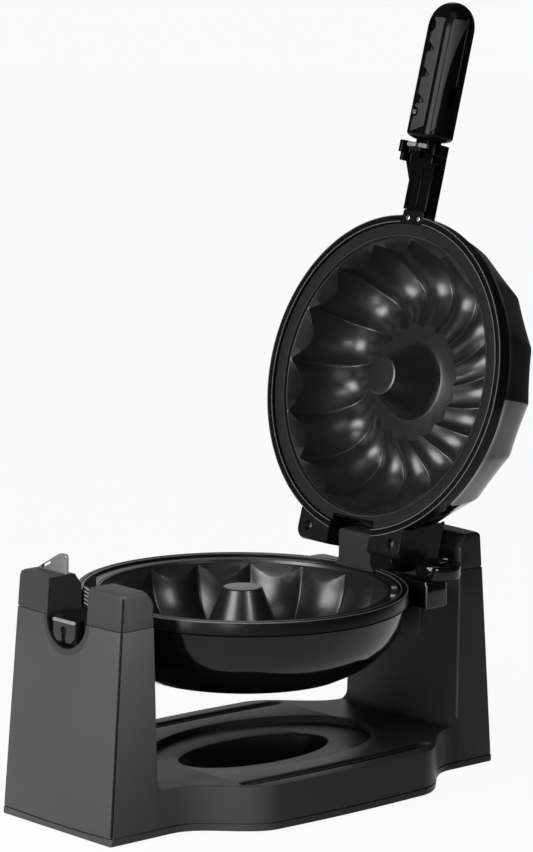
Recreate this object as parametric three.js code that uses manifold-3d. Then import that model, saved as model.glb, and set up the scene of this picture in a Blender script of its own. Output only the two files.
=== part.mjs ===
// Electric bundt cake maker: a fluted two-plate cooker that turns over in a stand with two
// pedestals, drawn with its lid open.
// Millimetres, +Z up. The origin is the middle of the stand, on the underside of its base plate.
// The cooker's length runs along X, with the handle end at -X and the hinge end at +X.
import * as THREE from 'three';
import { mergeVertices } from 'three/addons/utils/BufferGeometryUtils.js';
import Module from 'manifold-3d';

const wasm = await Module();
wasm.setup();

// Clearances.
const gap = 0.3; // between two pieces that touch
const runningGap = 0.6; // between two pieces that move past each other
const overrun = 6; // how far a cutting tool runs past the surface that it cuts

// The cooker's rim, which the lengths of the stand, hinge and handle follow.
const rimRadius = 130;
const ringWidth = 6.1;

// Stand.
const standReach = 70.75;
const standLength = 2 * (rimRadius + standReach); // over the feet of the two pedestals
const standTopReach = 56.9;
const topLength = 2 * (rimRadius + standTopReach); // over the tops of the two pedestals
const rearFootReach = 30.2;
const rearFootX = rimRadius + rearFootReach; // inner face of the rear pedestal at the deck
const frontExtraDepth = 6.3;
const frontFootX = rearFootX - frontExtraDepth; // the front pedestal is deeper
const innerLean = 3.3; // how far the inner faces lean away from each other, up to the top
const outerBow = 2.4; // how far the outer faces bow out at their middle
const bowSteps = 4;
const pedestalWidth = 130.1;
const pedestalTopWidth = 123.4;
const pedestalHeight = 190.5;
const seamDrop = 28.5;
const seamHeight = pedestalHeight - seamDrop; // where the caps meet the housing
const capChamferRun = 6.6;
const capChamferDrop = 9.5;
const capEdge = 2.5; // small chamfer on the outer top edge
const deckHeight = 35;
const deckWidth = 218;
const deckBow = 2; // how far the deck's sides bow out between its shoulders
const deckWaistReach = 21;
const deckWaist = rimRadius + deckWaistReach; // half length where it has narrowed to the pedestals
const deckNarrowing = 75;
const deckShoulder = deckWaist - deckNarrowing; // half the length over which the deck is widest
const deckInset = 0.6; // how far the deck's ends lie inside the pedestals' sides
const deckBury = 20; // how far the deck runs into each pedestal
const footFillet = 8; // between a pedestal and the deck
const recessLength = rimRadius * 1.4;
const recessWidth = 112;
const recessDepth = 6;
const wellInset = 38;
const wellLength = recessLength - wellInset; // the opening that clears the cooker's rim as it turns over
const wellWidth = 72;
const slotWidth = 5;
const slotDepth = 3;
const slotOverhang = 8;
const slotLength = recessLength + slotOverhang;
const slotInset = 11; // from the deck's edge to the slot's middle line
const basePlateThickness = 5.5;
const footRadius = 9;
const footProud = 2;
const footSeat = 2.3;
const footEndInset = 22; // from the end of the stand
const footSideInset = 16; // from the side of a pedestal
const screwHeadRadius = 3.5;
const screwHeadHeight = 2;
const screwInset = 22; // from the deck's edge
const finPeak = 15; // height of the stop fin over the cap
const finThickness = 3;
const finSetback = 12; // from the cap's inner face
const finPeakRun = 8; // from the notch to the peak
const finSlotShares = [0.42, 0.72]; // where its slot starts and ends along the fin
const finSlotHeight = 2.4;
const glandRadius = 5;
const glandBore = 3.4;
const glandLength = 14;
const glandProud = 1.5;
const glandHeight = 22;
const glandOffset = 38; // sideways from the middle of the rear pedestal

// Facets around round pieces, from the large ones down to the screws.
const roundSteps = 48;
const innerSteps = 24;
const rodSteps = 16;
const screwSteps = 10;

// Turning axis and journals.
const axisDrop = 26.8; // under the top of the pedestals
const axisHeight = pedestalHeight - axisDrop;
const cookerOffset = 13.7; // the cooker's middle lies this far towards -X from the stand's
const notchRadius = 23.8;
const notchBevel = 3.6;
const notchBevelDepth = 1.3;
const shaftRadius = 13;
const shaftFlangeRadius = 20;
const shaftFlangeThickness = 4.5;
const shaftTail = 66;
const shaftReach = rimRadius + shaftTail; // from the cooker's middle to the shaft's end
const bushWall = 4.6;
const bushLength = 12;
const retainerThickness = 3;
const collarRadius = 28.5;
const collarThickness = 4.8;
const collarReach = 11.6;
const collarFace = rimRadius + collarReach; // from the cooker's middle to the collar's outer face
const stubReach = 48;
const stubEnd = rimRadius + stubReach; // from the cooker's middle to the end of the lower half shaft
const stubHalfWidth = 12.3;
const stubDepth = 18.6;
const journalReach = 40;
const journalEnd = rimRadius + journalReach;
const partingDrop = 1.4; // the half shaft's flat lies this far under the axis
const endPlateThickness = 2;
const endPlateCorner = 4;
const keyholeWidth = 4;
const keyholeHeight = 8;
const keyholeHeadRadius = 3;
const bracketHalfWidth = 15;
const bracketDepth = 22;

// Cooker shells and rings. Levels are distances from the parting plane.
const partingGap = 0.5;
const ringHeight = 10;
const ringLip = 5;
const ringWall = 2.6;
const ringEdge = 1.4;
const shellWall = 2.6;
const ledgeWidth = 3;
const ledgeThickness = 3.2;
const bowlDepth = 66;
const crownDepth = 68; // depth of the fluted lid shell
// Outer profile of the bowl: share of the rim radius, share of the bowl's depth.
const bowlShares = [[0.989, 0.25], [0.966, 0.41], [0.927, 0.575], [0.869, 0.712],
  [0.777, 0.871], [0.654, 1]];
// The same for the lid shell, along a ridge and along the middle of a panel.
const ridgeShares = [[0.981, 0.235], [0.954, 0.44], [0.908, 0.69], [0.854, 0.853],
  [0.762, 0.963], [0.631, 1]];
const panelShares = [[0.973, 0.235], [0.937, 0.447], [0.889, 0.69], [0.835, 0.845],
  [0.745, 0.953], [0.618, 0.997]];

// Fluted bake plates, the same casting in both halves.
const fluteCount = 16;
const fluteSteps = 4;
const plateRadius = rimRadius - ringWidth - gap;
const plateFace = 2.5; // level of the flat ring
const plateFlange = 3; // thickness of the flat ring
const landWidth = 12.6;
const cavityRadius = plateRadius - landWidth;
const cavityStep = 2.5; // the scalloped edge lies this far under the flat ring
const cavityDepth = 56;
const swirl = THREE.MathUtils.degToRad(19.8); // how far a flute turns from its outer end to its tip
const coneTopRadius = cavityRadius * 0.135;
const coneFootRadius = cavityRadius * 0.279;
const coneEdge = 1.7;
const plateWall = 3.6;
// Along a groove and along the crown of a lobe: share of the cavity radius, share of its depth.
const grooveShares = [[1, 0.089], [0.977, 0.4], [0.912, 0.69], [0.79, 0.93],
  [0.667, 1], [0.52, 0.89], [0.391, 0.679]];
const lobeShares = [[0.937, 0.25], [0.903, 0.45], [0.845, 0.66], [0.755, 0.83],
  [0.65, 0.895], [0.54, 0.83], [0.432, 0.683]];
// Underside of the casting.
const undersideShares = [[1.032, 0.098], [1.023, 0.36], [0.968, 0.66], [0.883, 0.893],
  [0.649, 1.063], [0.54, 1.018], [0.432, 0.893], [0.378, 0.741], [0.243, 0.741]];

// Heating elements, thermostat and thermal fuse.
const heaterRadius = cavityRadius * 0.4865;
const heaterTube = 3.2;
const thermostatRadius = 6.8;
const thermostatHeight = 8;
const fuseRadius = 2.6;
const fuseLength = 11;
const sensorCircle = cavityRadius * 0.311; // where both sit under the casting's inner ring

// Lid hinge.
const openAngle = THREE.MathUtils.degToRad(104.6);
const hingeReach = 1.2;
const hingeX = rimRadius + hingeReach;
const hingeW = 19.9;
const hingePinRadius = 3;
const housingHalfWidth = 59;
const housingInset = 26;
const housingFront = rimRadius - housingInset;
const housingReach = 11;
const housingRear = rimRadius + housingReach;
const housingTop = 45;
const housingEdge = 7;
const lugEdge = 4.5; // chamfer that keeps the lugs clear of the lower half as the lid turns
const rearHousingTop = 2.4; // under the parting plane, clear of the lid's lugs as they turn
const rearHousingDepth = 48;
const riserHalfWidth = 18.3;
const riserFoot = 3.5; // how far its foot flares
const riserInset = 10.5;
const riserFront = rimRadius - riserInset;
const riserEdge = 3; // chamfer of its top corners, clear of the lid as it turns
const riserTop = 28;
const riserSweep = 16.2;
const riserBack = 10.1; // from the hinge pin to the riser's rear face
const riserSlotInset = 12.6;
const riserSlotFront = rimRadius - riserSlotInset;
const pocketWall = 1.8;
const riserSlotHalfWidth = 23.5;
const webRear = rimRadius * 0.931;
const lugScrewInset = 0.4;
const lugScrewX = rimRadius - lugScrewInset;
const lugScrewY = 47.8;
const lugScrewRadius = 3.2;
const lugScrewRecess = 4;

// Temperature dial and its housing, beside the hinge.
const dialReach = 7.3;
const dialX = rimRadius + dialReach;
const dialY = -78;
const dialRadius = 17;
const dialHeight = 10;
const dialDish = 4;
const dialRim = 2.4;
const dialLift = 1; // above the housing that it turns on
const dialStemRadius = 3;
const dialStemLength = 8;
const controlInset = 11;
const controlFront = rimRadius - controlInset;
const controlOuterY = -90;
const controlDepth = 21.5;

// Handle.
const flangeHalfWidth = 11.5;
const flangeInset = 5.5;
const flangeInner = rimRadius - flangeInset;
const flangeReach = 4;
const flangeOuter = rimRadius + flangeReach;
const flangeThickness = 4.5;
const flangeScrewInset = 2.4;
const flangeScrewX = rimRadius - flangeScrewInset;
const flangeScrewY = 5.8;
const flangeScrewRadius = 2.4;
const flangeFloor = 2; // what is left of the flange under its screws
const neckHalfWidth = 13.3;
const neckTop = 13.5;
const clampReach = 42;
const clampInner = rimRadius + clampReach;
const clampOuterReach = 56.5;
const clampOuter = rimRadius + clampOuterReach;
const clampHalfWidth = 24; // on its +Y side
const clampSlim = 17.2; // on its -Y side
const clampShoulderReach = 48.6;
const clampShoulder = rimRadius + clampShoulderReach; // where the clamp leaves the notch and widens
const clampNarrow = 20.8; // half width in the notch, so that it turns over with the cooker
const clampWall = 4;
const clampDrop = 7;
const clampRoof = 1.2;
const clampWebRun = 15; // the web that widens the neck towards the clamp on its +Y side
const clampEdge = 5;
const foldReach = 92;
const foldX = rimRadius + foldReach;
const foldW = 2;
const foldPinRadius = 2.5;
const foldPinCover = 5; // from the pin's end to the grip's side
const tongueHalfWidth = 7;
const tongueRadius = 7.5;
const gripReach = 62.5;
const gripStart = rimRadius + gripReach;
const gripLength = 110.5;
const gripEnd = gripStart + gripLength;
const gripHalfWidth = 18.5;
const gripHalfHeight = 15.5;
const gripCentre = 1.5;
const gripSides = 20;
const gripEdge = 2.5;
const gripDome = 24;
const gripDomeShares = [0.35, 0.65, 0.87];
const gripDomePower = 2.4; // how full the domed end is
const gripSquareness = 0.5; // 0 would be an oval, 1 a rectangle
// Finger notches along the +Y edge of the underside.
const gripNotchCount = 3;
const gripNotchPitch = 21;
const gripNotchStart = 39.5;
const gripNotchFirst = gripStart + gripNotchStart;
const gripNotchLength = 5;
const gripNotchDepth = 4.4;
const gripNotchReach = 6.9; // how far they reach in from the grip's side
const latchHalfWidth = 5;
const latchTabHalfWidth = 11;
const latchHook = 11;
const latchPlate = 3;
const latchTabHeight = 4;
const latchCarriage = 3.6; // height of the room that the slide is guided in
const latchSideRoom = 2;

// Finishes.
function finish(colour, roughness, metalness = 0) {
  return new THREE.MeshStandardMaterial({ color: colour, roughness, metalness });
}
const satinBlack = finish(0x2c2c2e, 0.5);
const satinCharcoal = finish(0x27272a, 0.55);
const glossBlack = finish(0x0c0c0d, 0.12);
const ringGrey = finish(0x303033, 0.35);
const nonStick = finish(0x1d1d1f, 0.42, 0.3);
const hingeGrey = finish(0x4a4a4d, 0.45, 0.2);
const steel = finish(0x9a9a9c, 0.3, 1);
const rubber = finish(0x161616, 0.85);
const brass = finish(0xb09050, 0.35, 1);

// Turns the winding over where the faces point in.
function outward(geometry) {
  const position = geometry.getAttribute('position');
  const index = Array.from(geometry.index.array);
  const [a, b, c] = [new THREE.Vector3(), new THREE.Vector3(), new THREE.Vector3()];
  let volume = 0;
  for (let i = 0; i < index.length; i += 3) {
    a.fromBufferAttribute(position, index[i]);
    b.fromBufferAttribute(position, index[i + 1]);
    c.fromBufferAttribute(position, index[i + 2]);
    volume += a.dot(b.cross(c));
  }
  if (volume < 0) index.reverse();
  geometry.setIndex(index);
  return geometry;
}

// Merges shared vertices and drops faces that have no area.
function closed(geometry) {
  const bare = geometry.clone();
  for (const name of Object.keys(bare.attributes)) {
    if (name !== 'position') bare.deleteAttribute(name);
  }
  const merged = mergeVertices(bare, 1e-4);
  const index = Array.from(merged.index.array);
  const kept = [];
  for (let i = 0; i < index.length; i += 3) {
    const [a, b, c] = index.slice(i, i + 3);
    if (a !== b && b !== c && c !== a) kept.push(a, b, c);
  }
  merged.setIndex(kept);
  return outward(merged);
}

// Joining and cutting.
function toManifold(geometry) {
  const body = closed(geometry);
  return new wasm.Manifold(new wasm.Mesh({
    numProp: 3,
    vertProperties: Float32Array.from(body.getAttribute('position').array),
    triVerts: Uint32Array.from(body.index.array),
  }));
}
function fromManifold(solid) {
  const mesh = solid.getMesh();
  const geometry = new THREE.BufferGeometry();
  geometry.setAttribute('position', new THREE.BufferAttribute(Float32Array.from(mesh.vertProperties), 3));
  geometry.setIndex(Array.from(mesh.triVerts));
  return geometry;
}
function cut(geometry, ...tools) {
  return fromManifold(tools.reduce((solid, tool) => solid.subtract(toManifold(tool)), toManifold(geometry)));
}
function join(...geometries) {
  return fromManifold(geometries.map(toManifold).reduce((a, b) => a.add(b)));
}
function keep(geometry, tool) {
  return fromManifold(toManifold(geometry).intersect(toManifold(tool)));
}

// A box from its lowest to its highest corner.
function block([x0, x1], [y0, y1], [z0, z1]) {
  const geometry = new THREE.BoxGeometry(x1 - x0, y1 - y0, z1 - z0);
  return geometry.translate((x0 + x1) / 2, (y0 + y1) / 2, (z0 + z1) / 2);
}

// A closed body through rings with the same number of points, which are capped like the outline.
function through(rings, outline) {
  if (THREE.ShapeUtils.isClockWise(outline)) {
    return through(rings.map((ring) => [...ring].reverse()), [...outline].reverse());
  }
  const count = outline.length;
  const last = (rings.length - 1) * count;
  const index = [];
  for (const [a, b, c] of THREE.ShapeUtils.triangulateShape(outline, [])) {
    index.push(a, b, c, last + a, last + c, last + b);
  }
  for (let start = 0; start < last; start += count) {
    for (let i = 0; i < count; i += 1) {
      const [a, b] = [start + i, start + (i + 1) % count];
      index.push(a, count + a, b, b, count + a, count + b);
    }
  }
  const geometry = new THREE.BufferGeometry().setFromPoints(rings.flat());
  geometry.setIndex(index);
  return outward(geometry);
}

// An outline in the XZ plane, drawn out along Y.
function alongY(outline, y0, y1) {
  const ring = (y) => outline.map(([x, z]) => new THREE.Vector3(x, y, z));
  return through([ring(y0), ring(y1)], outline.map(([x, z]) => new THREE.Vector2(x, z)));
}
// An outline in the YZ plane, drawn out along X.
function alongX(outline, x0, x1) {
  const ring = (x) => outline.map(([y, z]) => new THREE.Vector3(x, y, z));
  return through([ring(x0), ring(x1)], outline.map(([y, z]) => new THREE.Vector2(y, z)));
}
// An outline in the XY plane, drawn out along Z.
function alongZ(outline, z0, z1) {
  const ring = (z) => outline.map(([x, y]) => new THREE.Vector3(x, y, z));
  return through([ring(z0), ring(z1)], outline.map(([x, y]) => new THREE.Vector2(x, y)));
}

// Points on an arc, both ends included.
function arc(cx, cy, rx, ry, from, to, steps) {
  return Array.from({ length: steps + 1 }, (_, i) => {
    const angle = from + (to - from) * i / steps;
    return [cx + rx * Math.cos(angle), cy + ry * Math.sin(angle)];
  });
}

// A profile of radius and height turned about Z. It starts and ends on the axis or closes on itself.
function turned(profile, segments) {
  const points = profile.map(([r, z]) => new THREE.Vector2(r, z));
  return closed(new THREE.LatheGeometry(points, segments).rotateX(Math.PI / 2));
}
function ringProfile(inner, outer, low, high) {
  return [[inner, low], [outer, low], [outer, high], [inner, high], [inner, low]];
}
function rod(radius, low, high, segments) {
  return turned([[0, low], [radius, low], [radius, high], [0, high]], segments);
}

// A skin over rings of points, from one pole to another. Rings may differ in their number of points.
function skin(rings) {
  const points = rings.flat();
  const index = [];
  let start = 0;
  for (let k = 0; k + 1 < rings.length; k += 1) {
    const near = rings[k].length;
    const far = rings[k + 1].length;
    const next = start + near;
    let i = 0;
    let j = 0;
    while (i < near || j < far) {
      const stepNear = near > 1 && (far === 1 || j >= far || (i < near && (i + 1) / near <= (j + 1) / far));
      if (stepNear) {
        index.push(start + i, start + (i + 1) % near, next + j % far);
        i += 1;
      } else {
        index.push(start + i % near, next + (j + 1) % far, next + j);
        j += 1;
      }
      if (near === 1 && j >= far) break;
      if (far === 1 && i >= near) break;
    }
    start = next;
  }
  const geometry = new THREE.BufferGeometry().setFromPoints(points);
  geometry.setIndex(index);
  return outward(geometry);
}
function plainRing(r, z, count, turn = 0) {
  return Array.from({ length: count }, (_, i) => {
    const angle = turn + i / count * 2 * Math.PI;
    return new THREE.Vector3(r * Math.cos(angle), r * Math.sin(angle), z);
  });
}
// A ring that runs from a groove or ridge (first) to the middle of a lobe or panel (second) and back.
function flutedRing([r0, z0], [r1, z1], turn = 0) {
  const count = fluteCount * fluteSteps;
  return Array.from({ length: count }, (_, i) => {
    const across = 2 * (i % fluteSteps) / fluteSteps - 1;
    const share = 1 - across * across;
    const r = r0 + (r1 - r0) * share;
    const angle = turn + i / count * 2 * Math.PI;
    return new THREE.Vector3(r * Math.cos(angle), r * Math.sin(angle), z0 + (z1 - z0) * share);
  });
}
function pole(z) {
  return [new THREE.Vector3(0, 0, z)];
}

const FRONT = -1;
const REAR = 1;

// Pedestal faces: distance of the outer and inner face from the stand's middle, and half the width.
function outerX(z) {
  return (standLength + (topLength - standLength) * z / pedestalHeight) / 2;
}
function innerX(side, z) {
  const foot = side === FRONT ? frontFootX : rearFootX;
  return foot + innerLean * (z - deckHeight) / (pedestalHeight - deckHeight);
}
function halfWidth(z) {
  return (pedestalWidth + (pedestalTopWidth - pedestalWidth) * z / pedestalHeight) / 2;
}
function bow(across) {
  return outerBow * (1 - across * across);
}
// A pedestal's length of the given side profile, tapering in width with height. The profile's
// outer points bow out towards the middle.
function pedestalBody(side, profile, outerPoints) {
  const slices = Array.from({ length: bowSteps + 1 }, (_, i) => {
    const across = 2 * i / bowSteps - 1;
    return profile.map(([x, z], k) => {
      const reach = k < outerPoints ? x + bow(across) : x;
      return new THREE.Vector3(side * reach, across * halfWidth(z), z);
    });
  });
  return through(slices, profile.map(([x, z]) => new THREE.Vector2(side * x, z)));
}

const housingFloor = basePlateThickness + gap;

function pedestalProfile(side) {
  const filletTop = deckHeight + footFillet;
  const filletX = innerX(side, filletTop) - footFillet;
  return [
    [outerX(housingFloor), housingFloor],
    [outerX(seamHeight), seamHeight],
    [innerX(side, seamHeight), seamHeight],
    ...arc(filletX, filletTop, footFillet, footFillet, 0, -Math.PI / 2, 4),
    [filletX, housingFloor],
  ];
}
function pedestal(side) {
  return pedestalBody(side, pedestalProfile(side), 2);
}
function capBody(side) {
  const low = seamHeight + gap;
  const top = pedestalHeight;
  const profile = [
    [outerX(low), low],
    [outerX(top - capEdge), top - capEdge],
    [outerX(top) - capEdge, top],
    [innerX(side, top) + capChamferRun, top],
    [innerX(side, top - capChamferDrop), top - capChamferDrop],
    [innerX(side, low), low],
  ];
  return pedestalBody(side, profile, 3);
}

// Half the deck's width at a distance from the stand's middle.
function deckHalfWidth(x) {
  const wide = deckWidth / 2 - deckBow;
  const narrow = halfWidth(deckHeight) - deckInset;
  const along = Math.abs(x);
  if (along <= deckShoulder) return wide + deckBow * (1 - (along / deckShoulder) ** 2);
  if (along >= deckWaist) return narrow;
  const share = (along - deckShoulder) / (deckWaist - deckShoulder);
  return narrow + (wide - narrow) * (1 + Math.cos(Math.PI * share)) / 2;
}
// Both sides of a strip that follows the deck, given its half width at each distance.
function stripOutline(end, steps, nearEdge, farEdge) {
  const xs = Array.from({ length: steps + 1 }, (_, i) => -end + 2 * end * i / steps);
  return [...xs.map((x) => [x, nearEdge(x)]), ...xs.reverse().map((x) => [x, farEdge(x)])];
}
function deckOutline() {
  return stripOutline(rearFootX + deckBury, 30, (x) => -deckHalfWidth(x), deckHalfWidth);
}
function ellipse(length, width, steps) {
  return arc(0, 0, length / 2, width / 2, 0, 2 * Math.PI * (steps - 1) / steps, steps - 1);
}
// A long slot beside the deck's edge, with round ends.
function slotOutline(sign) {
  const end = slotLength / 2;
  const past = (x) => Math.max(0, Math.abs(x) - end + slotWidth) / slotWidth;
  const half = (x) => slotWidth / 2 * Math.sqrt(Math.max(0, 1 - past(x) ** 2)) + gap;
  const middle = (x) => sign * (deckWidth / 2 - slotInset - deckBow * (x / deckShoulder) ** 2);
  return stripOutline(end, 12, (x) => middle(x) - half(x), (x) => middle(x) + half(x));
}

// The open U in the front pedestal that the half shafts lie in.
function notchTool() {
  const top = pedestalHeight + finPeak + overrun;
  const outline = [
    [notchRadius, top],
    [-notchRadius, top],
    ...arc(0, axisHeight, notchRadius, notchRadius, Math.PI, 2 * Math.PI, 16),
  ];
  return alongX(outline, -outerX(0) - overrun, overrun - frontFootX);
}
function notchBevelTool() {
  const face = outerX(axisHeight - notchRadius) + outerBow;
  const slope = notchBevel / notchBevelDepth;
  const wide = notchRadius + notchBevel + overrun * slope;
  const deep = notchBevelDepth + overrun;
  const cone = turned([[0, 0], [notchRadius, 0], [wide, deep], [0, deep]], roundSteps);
  return cone.rotateY(-Math.PI / 2).translate(notchBevelDepth - face, 0, axisHeight);
}
function bearingPocket() {
  const radius = shaftRadius + gap + bushWall + gap;
  const end = shaftReach - cookerOffset + runningGap;
  const pocket = rod(radius, rearFootX - overrun, end, innerSteps);
  return pocket.rotateY(Math.PI / 2).translate(0, 0, axisHeight);
}
function standHousing() {
  const deck = alongZ(deckOutline(), housingFloor, deckHeight);
  const body = join(deck, pedestal(FRONT), pedestal(REAR));
  const glandHole = rod(glandRadius + gap, outerX(glandHeight) - glandLength, standLength, rodSteps);
  return cut(
    body,
    notchTool(),
    notchBevelTool(),
    bearingPocket(),
    alongZ(ellipse(recessLength, recessWidth, 36), deckHeight - recessDepth, deckHeight + overrun),
    alongZ(ellipse(wellLength, wellWidth, 30), housingFloor - overrun, deckHeight),
    alongZ(slotOutline(1), deckHeight - slotDepth, deckHeight + overrun),
    alongZ(slotOutline(-1), deckHeight - slotDepth, deckHeight + overrun),
    glandHole.rotateY(Math.PI / 2).translate(0, glandOffset, glandHeight),
  );
}

// The stop fin that rises from the far corner of the front cap to the notch.
function finOutline() {
  const top = pedestalHeight;
  const far = halfWidth(top);
  const foot = top - capChamferDrop;
  return [
    [notchRadius, foot],
    [notchRadius, top + finPeak - capEdge],
    [notchRadius + capEdge, top + finPeak],
    [notchRadius + finPeakRun, top + finPeak],
    [far - capEdge, top],
    [far - capEdge, foot],
  ];
}
function finSlot() {
  const far = halfWidth(pedestalHeight);
  const peak = notchRadius + finPeakRun;
  const run = far - peak;
  const at = (share) => pedestalHeight + finPeak * (1 - share) - finSlotHeight / 2;
  const [from, to] = finSlotShares;
  return [
    [peak + run * from, at(from)],
    [peak + run * to, at(to)],
    [peak + run * to, at(to) - finSlotHeight],
    [peak + run * from, at(from) - finSlotHeight],
  ];
}
function frontCap(sign) {
  const half = block(
    [-outerX(0) - overrun, 0],
    sign > 0 ? [0, pedestalWidth] : [-pedestalWidth, 0],
    [0, pedestalHeight + overrun],
  );
  const cap = keep(capBody(FRONT), half);
  if (sign < 0) return cut(cap, notchTool());
  const inner = -innerX(FRONT, pedestalHeight) - finSetback;
  const fin = alongX(finOutline(), inner - finThickness, inner);
  const slot = alongX(finSlot(), inner - finThickness - overrun, inner + overrun);
  return cut(join(cap, fin), notchTool(), slot);
}
function rearCap() {
  return cut(capBody(REAR), bearingPocket());
}

function footPlaces() {
  const x = standLength / 2 - footEndInset;
  const y = pedestalWidth / 2 - footSideInset;
  return [[-x, -y], [-x, y], [x, -y], [x, y]];
}
function screwPlaces() {
  const [x, y] = [deckShoulder, deckWidth / 2 - screwInset];
  return [[-x, -y], [x, -y], [-x, y], [x, y]];
}
function at(geometry, [x, y], z = 0) {
  return geometry.translate(x, y, z);
}
// The base plate has the housing's outline: the deck and the feet of both pedestals.
function basePlate() {
  const footprint = [
    [outerX(0), 0],
    [outerX(basePlateThickness), basePlateThickness],
    [frontFootX, basePlateThickness],
    [frontFootX, 0],
  ];
  const plate = join(
    alongZ(deckOutline(), 0, basePlateThickness),
    pedestalBody(FRONT, footprint, 2),
    pedestalBody(REAR, footprint, 2),
  );
  const seats = footPlaces().map((p) => at(rod(footRadius + gap, -overrun, footSeat, rodSteps), p));
  const hole = () => rod(screwHeadRadius + gap, -overrun, screwHeadHeight + 2 * gap, screwSteps);
  return cut(plate, ...seats, ...screwPlaces().map((p) => at(hole(), p)));
}
function foot() {
  const low = -footProud;
  const high = footSeat - gap;
  const bevel = footProud / 2;
  return turned([
    [0, low],
    [footRadius - bevel, low],
    [footRadius, low + bevel],
    [footRadius, high],
    [0, high],
  ], rodSteps);
}
function screwHead(place, radius, low, high) {
  return at(rod(radius, low, high, screwSteps), place);
}
function cordGland() {
  const face = outerX(glandHeight) + bow(glandOffset / halfWidth(glandHeight));
  return turned(ringProfile(glandBore, glandRadius, face - glandLength + gap, face + glandProud), rodSteps)
    .rotateY(Math.PI / 2);
}

// Shells and rings of the cooker. Levels count up from the parting plane; the lower half is turned over.
const ledgeRadius = rimRadius - ringWall - gap - shellWall - ledgeWidth;
const shellTop = partingGap + ringLip + gap;
function rimRing() {
  const outer = rimRadius;
  const inner = rimRadius - ringWidth;
  const low = partingGap;
  return turned([
    [inner, low],
    [outer - ringEdge, low],
    [outer, low + ringEdge],
    [outer, low + ringHeight],
    [outer - ringWall, low + ringHeight],
    [outer - ringWall, low + ringLip],
    [inner, low + ringLip],
    [inner, low],
  ], roundSteps);
}
// Rings from the top of the shell's mouth to where its outer profile starts.
function shellMouth(count) {
  const neck = rimRadius - ringWall - gap;
  const shoulder = partingGap + ringHeight + gap;
  return [
    plainRing(rimRadius - 2 * gap, shoulder, count),
    plainRing(neck, shoulder, count),
    plainRing(neck, shellTop, count),
    plainRing(ledgeRadius, shellTop, count),
    plainRing(ledgeRadius, shellTop + ledgeThickness, count),
  ];
}
function innerProfile(shares, depth) {
  return shares.map(([r, d], i) => {
    const last = i === shares.length - 1;
    const inset = last ? shellWall / 2 : shellWall * (1 + i / shares.length / 4);
    return [rimRadius * r - inset, depth * d - (last ? shellWall : shellWall * d)];
  });
}
function bowlShell() {
  const rings = [pole(bowlDepth)];
  for (const [r, d] of [...bowlShares].reverse()) {
    rings.push(plainRing(rimRadius * r, bowlDepth * d, roundSteps));
  }
  rings.push(...shellMouth(roundSteps));
  for (const [r, z] of innerProfile(bowlShares, bowlDepth)) rings.push(plainRing(r, z, innerSteps));
  rings.push(pole(bowlDepth - shellWall));
  return skin(rings);
}
// The lid shell has a walled pocket for the riser, open towards the parting plane.
function lidShell() {
  const inside = turned([
    [0, shellTop],
    [ledgeRadius + gap, shellTop],
    ...panelShares.map(([r, d]) => [rimRadius * r - shellWall / 2, crownDepth * d - shellWall / 2]),
    [0, crownDepth - shellWall],
  ], roundSteps);
  const walls = keep(riserRoom(riserSlotFront, pocketWall), inside);
  return cut(join(lidCrown(), walls), riserRoom(riserSlotFront));
}
function lidCrown() {
  const rings = [pole(crownDepth)];
  for (let k = ridgeShares.length - 1; k >= 0; k -= 1) {
    const [ridge, panel] = [ridgeShares[k], panelShares[k]].map(([r, d]) => [rimRadius * r, crownDepth * d]);
    rings.push(flutedRing(ridge, panel));
  }
  rings.push(...shellMouth(roundSteps));
  for (const [r, z] of innerProfile(panelShares, crownDepth)) rings.push(plainRing(r, z, innerSteps));
  rings.push(pole(crownDepth * panelShares.at(-1)[1] - shellWall));
  return skin(rings);
}
// A body slightly larger than a shell, which cuts whatever is seated against it.
function shellEnvelope(shares, depth) {
  const shoulder = partingGap + ringHeight;
  const outer = shares.map(([r, d]) => [rimRadius * r + gap, depth * d + gap]);
  return turned([
    [0, -overrun],
    [rimRadius + gap, -overrun],
    [rimRadius + gap, shoulder],
    ...outer,
    [0, depth + gap],
  ], roundSteps);
}

// A swirling fluted casting with a centre cone. The flutes open towards the parting plane.
function bakePlate() {
  const scale = ([r, d]) => [cavityRadius * r, cavityDepth * d];
  const tip = grooveShares.at(-1)[0];
  const turn = (r) => swirl * ((1 - r) / (1 - tip)) ** 2;
  const floor = cavityDepth * grooveShares.at(-1)[1];
  const rings = [
    pole(partingGap),
    plainRing(coneTopRadius, partingGap, innerSteps),
    plainRing(coneTopRadius + coneEdge, partingGap + coneEdge, innerSteps),
    plainRing(coneFootRadius - coneEdge, floor - coneEdge, innerSteps),
    plainRing(coneFootRadius + coneEdge, floor, innerSteps),
  ];
  for (let k = grooveShares.length - 1; k >= 0; k -= 1) {
    rings.push(flutedRing(scale(grooveShares[k]), scale(lobeShares[k]), turn(grooveShares[k][0])));
  }
  const edge = cavityDepth * grooveShares[0][1];
  rings.push(
    plainRing(cavityRadius + 2 * gap, edge, roundSteps),
    plainRing(cavityRadius + 4 * gap, edge - cavityStep, roundSteps),
    plainRing(plateRadius, plateFace, roundSteps),
    plainRing(plateRadius, plateFace + plateFlange, roundSteps),
  );
  for (const share of undersideShares) rings.push(plainRing(...scale(share), innerSteps));
  rings.push(
    plainRing(coneTopRadius, partingGap + coneEdge + 3 * plateWall, innerSteps),
    plainRing(coneTopRadius - coneEdge, partingGap + plateWall, innerSteps),
    pole(partingGap + plateWall),
  );
  return skin(rings);
}
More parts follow.
